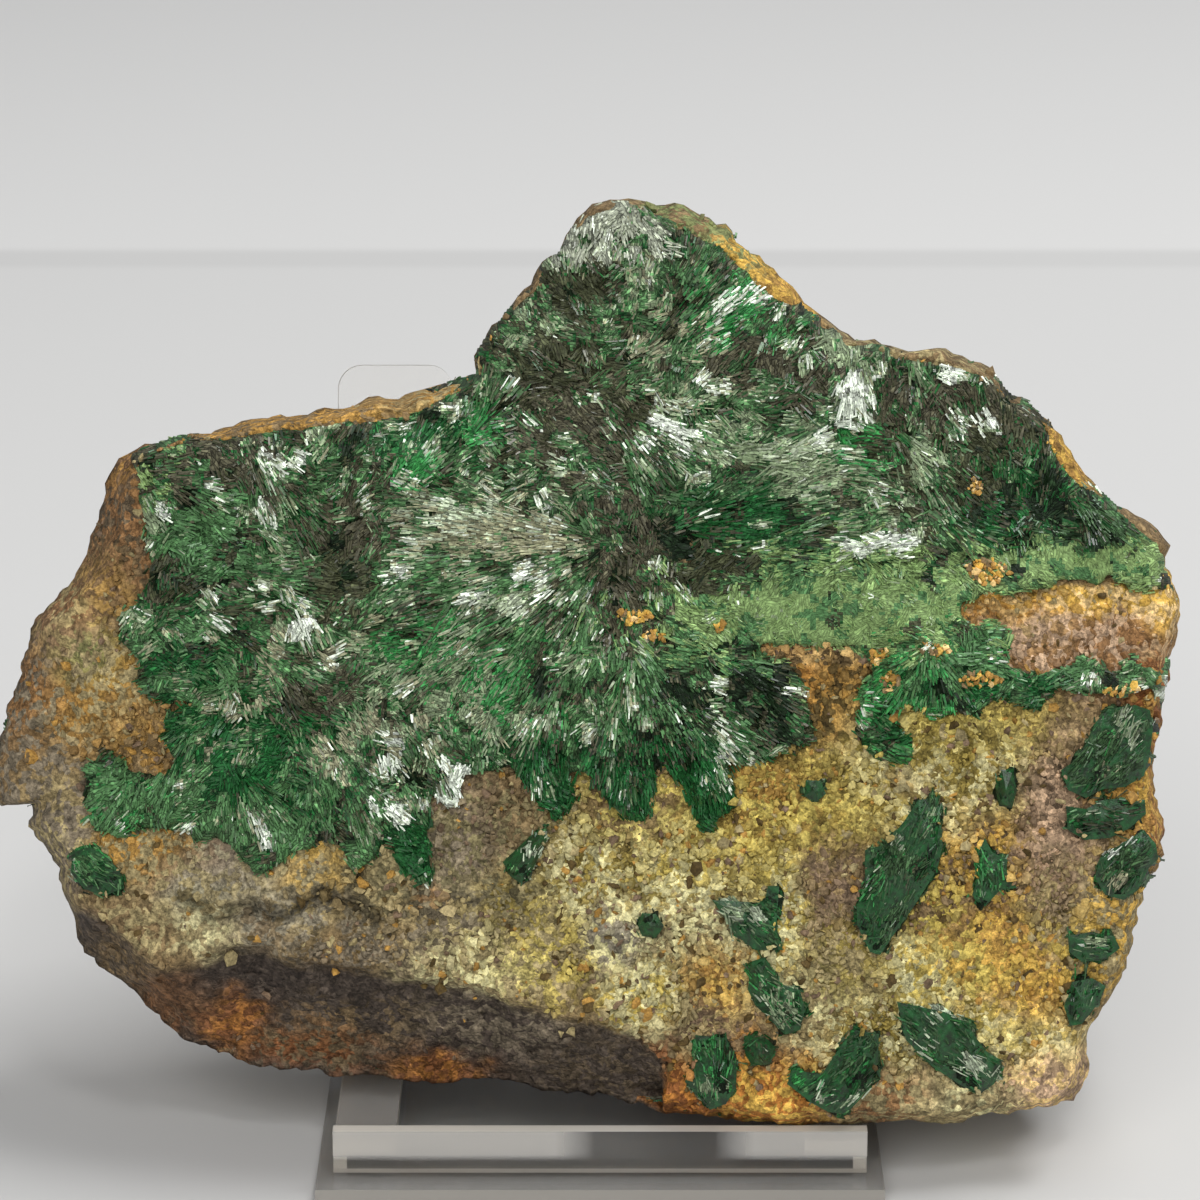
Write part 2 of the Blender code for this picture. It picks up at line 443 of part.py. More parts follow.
def new_object(name, verts, faces, finish_name):
    """Object with the given mesh, its faces turned outwards."""
    mesh = bpy.data.meshes.new(name)
    mesh.from_pydata([tuple(v) for v in verts], [], faces)
    shape = bmesh.new()
    shape.from_mesh(mesh)
    bmesh.ops.triangulate(shape, faces=shape.faces)
    bmesh.ops.recalc_face_normals(shape, faces=shape.faces)
    shape.to_mesh(mesh)
    shape.free()
    mesh.materials.append(finish(finish_name))
    item = bpy.data.objects.new(name, mesh)
    bpy.context.collection.objects.link(item)
    return item


def anticlockwise(verts, face):
    """The face with its corners in anticlockwise order on the face plane."""
    a, b, c = (verts[i] for i in face)
    turn = (b[0] - a[0]) * (c[1] - a[1]) - (b[1] - a[1]) * (c[0] - a[0])
    return face if turn > 0 else face[::-1]


def side_point(u, v, rim, fraction):
    """Point of the rock's side behind a rim point, at a fraction of the way to the back."""
    fractions, scales = zip(*SIDE_PROFILE)
    scale = np.interp(fraction, fractions, scales)
    w = rim + (BACK_DEPTH - rim) * fraction
    rough = 0.5 + 0.5 * lumps(np.array([(u, v, w)]), SIDE_LUMP_SIZE, 17)[0]
    scale -= SIDE_ROUGHNESS * rough * min(1.0, fraction / SIDE_SMOOTH_SHARE)
    centre = np.array(SILHOUETTE_CENTRE)
    seen = centre + (np.array((u, v)) - centre) * scale
    return seen[0], seen[1], w


def back_depth(u, v):
    """Depth of the rock's rough back."""
    return BACK_DEPTH + BACK_ROUGHNESS * face_lumps(u, v, BACK_LUMP_SIZE, 29)


def matrix_rock(verts, faces, silhouette):
    """Rock: its face, rings that close in behind the silhouette, and a rough back."""
    depth = rock_depth(verts[:, 0], verts[:, 1])
    for u, v, rim in silhouette:
        depth[np.argmin(np.hypot(verts[:, 0] - u, verts[:, 1] - v))] = rim
    corners = [to_world(u, v, w) for (u, v), w in zip(verts, depth)]
    loop = rim_loop(faces)
    polygons = list(faces)
    ring_before = loop
    for fraction in SIDE_STEPS:
        ring = [side_point(*verts[index], depth[index], fraction) for index in loop]
        if fraction == SIDE_STEPS[-1]:
            ring = [(u, v, back_depth(np.array([u]), np.array([v]))[0]) for u, v, _ in ring]
        ring_now = list(range(len(corners), len(corners) + len(ring)))
        corners += [to_world(*point) for point in ring]
        for here, there in zip(range(len(loop)), list(range(1, len(loop))) + [0]):
            polygons.append((ring_before[there], ring_before[here], ring_now[here], ring_now[there]))
        ring_before = ring_now
    back_rim = [point[:2] for point in ring]
    inner = scattered(back_rim, BACK_GRID, [(back_rim, True)], 23)
    flat, flat_faces = triangulate(inner, [(back_rim, True)])
    flat_faces = within(flat, flat_faces, back_rim)
    depths = back_depth(flat[:, 0], flat[:, 1])
    renumber = {}
    for index, (u, v) in enumerate(flat):
        gaps = np.hypot(*(np.array(back_rim) - (u, v)).T)
        if gaps.min() < 1e-4:
            renumber[index] = ring_before[int(gaps.argmin())]
            continue
        renumber[index] = len(corners)
        corners.append(to_world(u, v, depths[index]))
    polygons += [tuple(renumber[i] for i in anticlockwise(flat, f))[::-1] for f in flat_faces]
    return new_object("matrix_rock", corners, polygons, "rock")


def layer(name, verts, faces, top_height, edge_height, crests=()):
    """Solid that follows the rock a gap away: its underside, its top and a wall round its rim."""
    used = sorted({i for f in faces for i in f})
    number = {index: place for place, index in enumerate(used)}
    u, v = verts[used, 0], verts[used, 1]
    low = rock_depth(u, v) + GAP
    rim = {number[i] for i in rim_loop(faces)}
    height = np.array([edge_height if i in rim else h for i, h in enumerate(top_height(u, v))])
    for crest_u, crest_v, crest_height in crests:
        height[np.argmin(np.hypot(u - crest_u, v - crest_v))] = crest_height
    corners = [to_world(*p) for p in zip(u, v, low + height)]
    corners += [to_world(*p) for p in zip(u, v, low)]
    count = len(used)
    tops = [tuple(number[i] for i in f) for f in faces]
    polygons = tops + [tuple(i + count for i in f)[::-1] for f in tops]
    loop = [number[i] for i in rim_loop(faces)]
    for here, there in zip(loop, loop[1:] + loop[:1]):
        polygons.append((there, here, here + count, there + count))
    return new_object(name, corners, polygons, "atacamite")


def blade(shape, root, tip, out, width, height):
    """Add one pointed crystal: a bar of rhombic section from root to tip, with tapered ends."""
    along = (tip - root).normalized()
    across = along.cross(out).normalized()
    raised = across.cross(along).normalized()
    corners = [shape.verts.new(root)]
    for fraction, size in BLADE_SHOULDERS:
        middle = root.lerp(tip, fraction)
        corners += [shape.verts.new(middle + across * width * size / 2.0),
                    shape.verts.new(middle + raised * height * size / 2.0),
                    shape.verts.new(middle - across * width * size / 2.0),
                    shape.verts.new(middle - raised * height * size / 2.0)]
    corners.append(shape.verts.new(tip))
    for side in range(4):
        here, there = 1 + side, 1 + (side + 1) % 4
        shape.faces.new((corners[0], corners[there], corners[here]))
        shape.faces.new((corners[here], corners[there], corners[there + 4], corners[here + 4]))
        shape.faces.new((corners[9], corners[here + 4], corners[there + 4]))


def crystal_blades(crust_loop):
    """All the blades of the sprays in one cutter mesh, each half sunk in the crust."""
    chance = random.Random(41)
    shape = bmesh.new()
    out = face_to_world(0.0, 0.0, 1.0) - face_to_world(0.0, 0.0, 0.0)
    for root_u, root_v, heading, opening, reach, count in SPRAYS:
        for index in range(count):
            share = (index + 0.5) / count - 0.5
            share += chance.uniform(-BLADE_SCATTER, BLADE_SCATTER)
            angle = math.radians(heading + opening * share)
            start = reach * chance.uniform(*BLADE_START)
            end = reach * chance.uniform(*BLADE_END)
            line = np.array([(root_u + math.cos(angle) * r, root_v + math.sin(angle) * r)
                             for r in (start, end)])
            if not inside(crust_loop, line[:, 0], line[:, 1]).all():
                continue
            if clearance(crust_loop, line[:, 0], line[:, 1]).min() < BLADE_CLEARANCE:
                continue
            surface = (rock_depth(line[:, 0], line[:, 1]) + GAP
                       + crust_thickness(line[:, 0], line[:, 1]))
            root = to_world(*line[0], surface[0] - BLADE_SINK)
            tip = to_world(*line[1], surface[1] + chance.uniform(*BLADE_RISE))
            size = chance.uniform(*BLADE_WIDTH) * MILLIMETRE
            blade(shape, root, tip, out, size, size)
    bmesh.ops.recalc_face_normals(shape, faces=shape.faces)
    mesh = bpy.data.meshes.new("crystal_blades")
    shape.to_mesh(mesh)
    shape.free()
    item = bpy.data.objects.new("crystal_blades", mesh)
    bpy.context.collection.objects.link(item)
    item.hide_render = True
    item.display_type = "WIRE"
    return item


def atacamite_crust(verts, faces):
    """The green crust: a layer over the rock with the blades of its sprays grown on it."""
    crust_faces = within(verts, faces, CRUST_EDGE_LINE)
    crust = layer("atacamite_crust", verts, crust_faces, crust_thickness, CRUST_EDGE)
    union = crust.modifiers.new("blades", "BOOLEAN")
    union.operation = "UNION"
    union.solver = "EXACT"
    union.use_self = True
    union.object = crystal_blades(CRUST_EDGE_LINE)
    return crust


def crystal_groups(verts, faces):
    """The separate crystal groups, each a low faceted solid with its own crests."""
    for name, (outline, crests) in GROUPS.items():
        raised = []
        for u, v in crests:
            spread = GROUP_HEIGHT_SPREAD * math.sin(7.0 * u + 3.0 * v)
            raised.append((u, v, GROUP_HEIGHT * (1.0 + spread)))
        group_faces = within(verts, faces, outline)
        layer("atacamite_" + name, verts, group_faces,
              lambda u, v: np.full(len(u), GROUP_TOP), GROUP_EDGE, raised)


def plate(name, outline, offset):
    """Flat clear plate: an outline of world points and the offset to its other face."""
    count = len(outline)
    corners = list(outline) + [p + (offset[i] if isinstance(offset, list) else offset)
                               for i, p in enumerate(outline)]
    polygons = [tuple(range(count)), tuple(range(2 * count - 1, count - 1, -1))]
    for here in range(count):
        there = (here + 1) % count
        polygons.append((there, here, here + count, there + count))
    return new_object(name, corners, polygons, "clear_acrylic")


def bar(name, low, high):
    """Straight-sided clear bar between two corners, in millimetres."""
    outline = [Vector((x, y, low[2])) * MILLIMETRE
               for x, y in ((low[0], low[1]), (high[0], low[1]), (high[0], high[1]),
                            (low[0], high[1]))]
    return plate(name, outline, Vector((0.0, 0.0, (high[2] - low[2]) * MILLIMETRE)))


def upright(name, side):
    """Leaning plate behind the stone, with rounded upper corners and a foot cut level."""
    foot_height = PLATE + GAP

    def level(out):
        return (foot_height - FACE_CENTRE[2] - out * LEAN_SINE) / LEAN_COSINE

    low, high = sorted((side * UPRIGHT_INNER, side * UPRIGHT_OUTER))
    back = UPRIGHT_DEPTH - PLATE
    front_line = [(low, level(UPRIGHT_DEPTH)), (high, level(UPRIGHT_DEPTH))]
    back_line = [(low, level(back)), (high, level(back))]
    for middle, turn in ((high - UPRIGHT_ROUND, 0), (low + UPRIGHT_ROUND, 90)):
        for step in range(UPRIGHT_ROUND_STEPS + 1):
            angle = math.radians(turn + 90.0 * step / UPRIGHT_ROUND_STEPS)
            point = (middle + UPRIGHT_ROUND * math.cos(angle),
                     UPRIGHT_TOP - UPRIGHT_ROUND + UPRIGHT_ROUND * math.sin(angle))
            front_line.append(point)
            back_line.append(point)
    front = [face_to_world(right, up, UPRIGHT_DEPTH) for right, up in front_line]
    behind = [face_to_world(right, up, back) for right, up in back_line]
    return plate(name, front, [b - f for f, b in zip(front, behind)])


def stand():
    """Clear stand: base plate, feet, front rail, shelf arms and uprights."""
    bar("stand_base", (-BASE_HALF_WIDTH, -BASE_HALF_DEPTH, 0.0),
        (BASE_HALF_WIDTH, BASE_HALF_DEPTH, PLATE))
    rail_back = ARM_FRONT - GAP
    bar("stand_front_rail", (-ARM_OUTER, rail_back - PLATE, RAIL_LOW),
        (ARM_OUTER, rail_back, RAIL_HIGH))
    under_shelf = (SHELF_TOP - PLATE - FACE_CENTRE[2] - UPRIGHT_DEPTH * LEAN_SINE) / LEAN_COSINE
    upright_front = face_to_world(0.0, under_shelf, UPRIGHT_DEPTH)[1] / MILLIMETRE
    arm_back = upright_front - ARM_BACK_GAP
    for side, word in ((-1, "left"), (1, "right")):
        inner, outer = sorted((side * ARM_INNER, side * ARM_OUTER))
        bar("stand_arm_" + word, (inner, ARM_FRONT, SHELF_TOP - PLATE), (outer, arm_back, SHELF_TOP))
        edge = side * (ARM_OUTER - FOOT_WIDTH)
        near, far = sorted((edge, side * ARM_OUTER))
        bar("stand_foot_" + word, (near, ARM_FRONT, PLATE + GAP),
            (far, ARM_FRONT + FOOT_DEPTH, SHELF_TOP - PLATE - GAP))
        upright("stand_upright_" + word, side)


def main():
    """Build the rock, the crust, the crystal groups and the stand."""
    clear_scene()
    silhouette = silhouette_points()
    outline = [tuple(row[:2]) for row in silhouette]
    lines = [(outline, True), (CRUST_EDGE_LINE, True), (UNDERCUT_EDGE, False)]
    lines += [(group[0], True) for group in GROUPS.values()]
    loose = scattered(outline, ROCK_GRID, lines, 7)
    crest_points = [crest for group in GROUPS.values() for crest in group[1]]
    in_group = np.zeros(len(loose), bool)
    for group in GROUPS.values():
        in_group |= inside(group[0], loose[:, 0], loose[:, 1])
    loose = np.concatenate((loose[~in_group], np.array(crest_points)))
    verts, faces = triangulate(loose, lines)
    faces = [anticlockwise(verts, f) for f in within(verts, faces, outline)]
    matrix_rock(verts, faces, silhouette)
    atacamite_crust(verts, faces)
    crystal_groups(verts, faces)
    stand()


main()
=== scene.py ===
"""Looks of an atacamite specimen: rock, grains, crystal needles, clear stand and a pale stage.

The stone's broad face has its own coordinates in millimetres: u to the right, v up the face and
w out of it. A place on the face is given as the camera sees it, so deeper points are spread
outwards in proportion to their distance from the eye.
"""

import math
from collections import namedtuple

import bpy
import numpy as np
from bpy.props import FloatProperty, FloatVectorProperty, IntProperty, PointerProperty
from mathutils import Matrix, Vector
from mathutils.bvhtree import BVHTree


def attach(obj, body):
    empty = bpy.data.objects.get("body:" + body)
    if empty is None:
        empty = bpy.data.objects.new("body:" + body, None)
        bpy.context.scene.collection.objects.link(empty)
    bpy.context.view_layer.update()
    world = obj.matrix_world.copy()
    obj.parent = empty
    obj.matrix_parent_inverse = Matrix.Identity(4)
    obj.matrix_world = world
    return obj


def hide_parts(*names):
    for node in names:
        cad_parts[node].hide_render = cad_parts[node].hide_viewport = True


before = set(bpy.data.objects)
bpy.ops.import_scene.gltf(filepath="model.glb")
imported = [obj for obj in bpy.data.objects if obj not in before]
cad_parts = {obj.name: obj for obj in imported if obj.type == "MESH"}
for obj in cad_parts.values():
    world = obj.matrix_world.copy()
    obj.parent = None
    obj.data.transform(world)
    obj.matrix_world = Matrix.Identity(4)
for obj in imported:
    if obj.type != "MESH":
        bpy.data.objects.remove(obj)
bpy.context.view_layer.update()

bl_info = {
    "name": "Atacamite specimen",
    "version": (1, 0, 0),
    "blender": (4, 5, 0),
    "location": "View3D > Sidebar > Specimen",
    "description": "Dresses the solids of a mineral specimen with grains, needles and finishes",
    "category": "Object",
}

# Placement of the face, in millimetres and degrees, as in the solids
FACE_LEAN = math.radians(18.0)
FACE_CENTRE = np.array((0.0, -12.5, 57.5))
EYE_DISTANCE = 450.0
PICTURE_WIDTH = 120.0
SENSOR_WIDTH = 36.0
SHELF_HEIGHT = 5.4
MILLIMETRE = 0.001
RIGHT = np.array((1.0, 0.0, 0.0))
UP = np.array((0.0, math.sin(FACE_LEAN), math.cos(FACE_LEAN)))
OUT = np.array((0.0, -math.cos(FACE_LEAN), math.sin(FACE_LEAN)))

# Table, in metres: its half width, its squares along each side, how far it lies under the stand,
# where along y its greys start and how far they reach, the greys as y and value, and their tint
FLOOR_REACH = 4.0
FLOOR_SQUARES = 8
FLOOR_GAP = 0.00005
FLOOR_START = -0.04
FLOOR_LENGTH = 0.5
# The greys are painted shade: greyer near the viewer, and a darker painted shade line at y 0.364 to 0.373
# where a backdrop would meet the table, paler beyond it
FLOOR_TONES = ((-0.03, 0.58), (0.035, 0.595), (0.16, 0.64), (0.36, 0.65), (0.364, 0.61),
               (0.373, 0.612), (0.377, 0.70))
FLOOR_WARMTH = (1.0, 0.993, 0.972)

# Soft square lamps: place and size in metres, share of the lamp power
LAMPS = {"overhead": ((0.52, 0.22, 1.25), 0.80, 1.0), "front_fill": ((-0.15, -0.95, 0.62), 0.9, 0.6),
         "glint_lamp": ((0.12, -0.42, 0.62), 0.10, 0.05)}
SKY_COLOUR = (0.93, 0.95, 1.0, 1.0)
SKY_STRENGTH = 0.25

# Stand: the direction that each plate's wide faces look along, how cloudy these are and how pale
# its sawn edges are; on the front rail the cloudiness is a painted highlight at its upper ends
SHEETS = {"base": ((0.0, 0.0, 1.0), 0.2, 0.4), "front": ((0.0, 1.0, 0.0), 0.5, 0.8),
          "arm": ((0.0, 0.0, 1.0), 0.35, 0.8), "foot": ((1.0, 0.0, 0.0), 0.3, 0.8),
          "upright": (OUT, 0.0, 0.8)}

# The rock's shape, repeated from the solids
BACK_DEPTH = -33.4
BACK_ROUGHNESS = 2.0
ROCK_LUMPS = 0.55
RELIEF_REACH = 6.0
SILHOUETTE_CENTRE = np.array((0.0, -8.0))
SIDE_ROUGHNESS = 0.05
SIDE_PROFILE = ((0.0, 1.0), (0.25, 0.995), (0.6, 0.97), (0.85, 0.93), (1.0, 0.87))

# The rim's jags and how far they draw it in, in millimetres, and how densely points lie on its
# upper part beside the rest
JAGS = (0.34, 0.24)
RIM_INSET = 0.15
UPPER_POINT_SHARE = 0.55

# The steepest that a needle rises or falls along its length, and the millimetres it may add
STEEPEST_NEEDLE = 1.2
NEEDLE_STEP = 0.3

# Silhouette, clockwise from the left tip: rim depth at the start and end of a stretch, how wide
# the edge rounds over, and its points
SILHOUETTE = {
    "left_flank": (-12.0, -9.0, 2.4, (
        (-61.4, -17.4), (-60.3, -13.4), (-58.8, -10.0), (-58.0, -7.5), (-57.6, -5.4), (-56.3, -1.8),
        (-54.8, 0.0), (-52.8, 1.8), (-51.4, 4.0), (-51.0, 7.0), (-50.0, 9.2), (-49.3, 12.2),
        (-47.8, 14.2))),
    "top_left_slope": (-9.0, -15.0, 1.3, (
        (-45.8, 15.4), (-43.5, 16.2), (-41.0, 16.9), (-37.8, 17.1), (-33.8, 18.1), (-30.5, 18.7),
        (-27.0, 19.0), (-25.0, 19.8), (-22.5, 20.4), (-20.0, 20.4), (-17.0, 21.3), (-14.5, 22.2),
        (-12.3, 22.8))),
    "peak_left": (-6.0, -9.5, 0.6, (
        (-12.6, 24.0), (-12.3, 25.2), (-11.2, 27.0), (-9.8, 28.6), (-8.5, 30.2), (-6.9, 31.4),
        (-6.0, 33.8), (-4.2, 35.0), (-3.0, 37.2), (-1.5, 38.8), (0.2, 39.8))),
    "peak_right": (-9.5, -12.0, 1.5, (
        (2.5, 40.1), (5.0, 40.0), (8.0, 39.4), (11.0, 38.6), (12.8, 37.5), (14.2, 36.0),
        (16.8, 33.5), (19.3, 31.0), (20.8, 29.2), (23.2, 27.7), (24.6, 26.3))),
    "shoulder": (-9.0, -8.0, 0.7, (
        (27.0, 25.9), (30.5, 25.0), (34.5, 25.2), (37.0, 24.0), (39.5, 22.9), (41.2, 20.6),
        (43.0, 19.9), (45.2, 17.8), (46.2, 16.0), (47.5, 14.5), (48.6, 12.2), (50.5, 10.8),
        (53.5, 8.2), (55.8, 6.8), (56.8, 5.3))),
    "right_side": (-7.0, -7.0, 1.2, (
        (56.6, 3.6), (57.4, 1.5), (58.2, -1.0), (57.8, -3.5), (57.0, -7.0), (56.3, -11.0),
        (55.8, -15.5), (55.4, -19.5), (56.3, -23.0), (56.8, -25.5), (55.3, -28.0), (53.8, -31.2),
        (53.1, -35.0), (52.3, -38.0), (50.4, -40.8), (49.0, -44.0), (48.6, -47.2), (47.0, -49.8))),
    "foot": (-5.0, -4.5, 1.6, (
        (45.0, -51.0), (40.5, -51.1), (37.5, -52.0), (34.5, -52.6), (31.5, -52.0), (27.0, -52.5),
        (22.5, -52.5), (18.5, -53.0), (15.0, -52.2), (10.5, -52.0), (7.0, -51.4))),
    "undercut": (-7.0, -14.0, 1.2, (
        (3.0, -50.3), (-2.5, -49.6), (-8.0, -48.8), (-12.0, -47.9), (-16.0, -48.5), (-21.0, -48.3),
        (-24.5, -47.5), (-29.0, -47.1), (-34.0, -46.4), (-38.5, -45.7), (-41.0, -44.2),
        (-44.0, -41.8), (-46.0, -39.8), (-49.0, -37.6))),
    "left_corner": (-13.0, -12.0, 1.6, (
        (-51.5, -34.8), (-52.9, -32.0), (-54.0, -28.5), (-55.3, -24.8), (-57.0, -22.2),
        (-57.4, -20.4), (-60.0, -20.4))),
}
UNDERCUT_EDGE = (
    (-52.2, -30.2), (-50.2, -31.2), (-47.2, -34.0), (-44.5, -36.8), (-41.5, -36.5), (-37.0, -34.5),
    (-34.0, -34.2), (-30.0, -35.8), (-22.0, -36.5), (-17.0, -37.5), (-12.0, -38.2), (-8.0, -40.0),
    (-4.0, -41.5), (0.0, -42.2), (4.0, -43.5), (6.4, -46.0))
RELIEF = (
    (-45, 14, -4.0), (-30, 16, -2.0), (-20, 17, -1.5), (-13, 20, -2.5), (-46, 5, -3.5),
    (-40, 8, -1.0), (-30, 6, 0.2), (-20, 8, 0.8), (-10, 10, 0.4), (-40, -3, -0.8), (-30, -4, 0.8),
    (-20, -3, 1.4), (-10, -2, 1.2), (-47, -8, -3.0), (-38, -12, 0.2), (-28, -14, 1.4),
    (-18, -13, 1.6), (-8, -11, 1.4), (0, 2, 0.6), (8, 4, -0.8), (0, 12, 0.2), (-8, 20, -1.2),
    (0, 22, -1.0), (10, 20, -0.8), (-9, 28, -4.2), (0, 30, -3.2), (9, 30, -3.0), (2, 37, -7.0),
    (10, 36, -6.0), (18, 28, -5.0), (20, 18, -0.8), (30, 20, -1.5), (38, 19, -4.0), (44, 15, -5.0),
    (20, 9, 0.6), (30, 9, 0.2), (38, 9, -2.0), (46, 9, -4.2), (54, 5, -5.0), (14, 1, 1.2),
    (25, 1, 1.4), (34, 2, 0.4), (44, 2, -2.6), (54, 1.5, -4.2), (16, -3.5, 2.8), (26, -3.5, 3.0),
    (36, -3, 2.2), (44, -2.5, 1.0), (55, -2.5, -1.5), (44, -7, 1.8), (55, -7, -1.0), (18, -9, 0.8),
    (24, -10, 0.8), (33, -9, 2.4), (5, -9, 1.8), (8, -18, 2.2), (18, -17, 1.6), (28, -16, 2.4),
    (38, -15, 2.6), (46, -14, 1.6), (54, -14, -1.4), (-50, -16, -5.0), (-56, -12, -9.0),
    (-58, -17, -11.0), (-55, -20, -9.0), (-51, -24, -6.0), (-46, -24, -3.6), (-38, -24, 0.0),
    (-28, -24, 1.6), (-18, -24, 2.2), (-8, -24, 2.4), (2, -27, 2.6), (-50, 2, -6.0),
    (-52, -5, -7.0), (-48, 11, -6.5), (-46, -30, -4.0), (-38, -30, -0.6), (-28, -31, 1.0),
    (-18, -33, 2.0), (-8, -34, 2.6), (2, -36, 2.8), (12, -28, 2.4), (22, -27, 2.8), (32, -28, 3.2),
    (42, -26, 2.4), (51, -25, -0.6), (12, -38, 2.2), (22, -38, 2.8), (32, -38, 2.6), (42, -38, 0.8),
    (50, -36, -3.0), (10, -47, -0.6), (20, -47, 0.4), (30, -47, 0.4), (40, -47, -1.2),
    (46, -45, -3.4))

# Colours of rock and crystal, red, green and blue out of 255; glint is a painted highlight, a near-white
# crystal tone laid where the crystals catch the light, on top of their real gloss
TONES = {
    "umber": (106, 92, 72), "brown": (138, 116, 82), "grey_brown": (134, 122, 102),
    "russet": (148, 110, 72), "tan": (172, 156, 112), "grey": (158, 150, 130),
    "drab": (138, 128, 92), "slate": (84, 74, 65), "soot": (58, 50, 45), "rust": (146, 92, 50),
    "ochre": (180, 138, 70), "yellow": (200, 180, 94), "cream": (222, 214, 160),
    "gold": (218, 176, 84), "amber": (240, 204, 138), "orange": (190, 126, 58),
    "pink_brown": (198, 166, 134), "mauve": (132, 110, 88), "dark_brown": (98, 80, 46),
    "olive_ochre": (156, 138, 70), "lichen": (136, 144, 92),
    "deep": (28, 44, 26), "olive": (70, 74, 52), "bark": (86, 84, 66), "emerald": (34, 88, 44),
    "forest": (66, 94, 60), "leaf": (84, 124, 78), "bright": (60, 136, 72),
    "moss": (130, 157, 99), "sage": (134, 150, 116), "straw": (150, 150, 120),
    "ash": (158, 164, 144), "pale": (178, 190, 162), "glint": (226, 234, 218),
}
TONE_ORDER = ("deep", "olive", "bark", "emerald", "forest", "leaf", "bright", "moss", "sage",
              "straw", "ash", "pale", "glint")

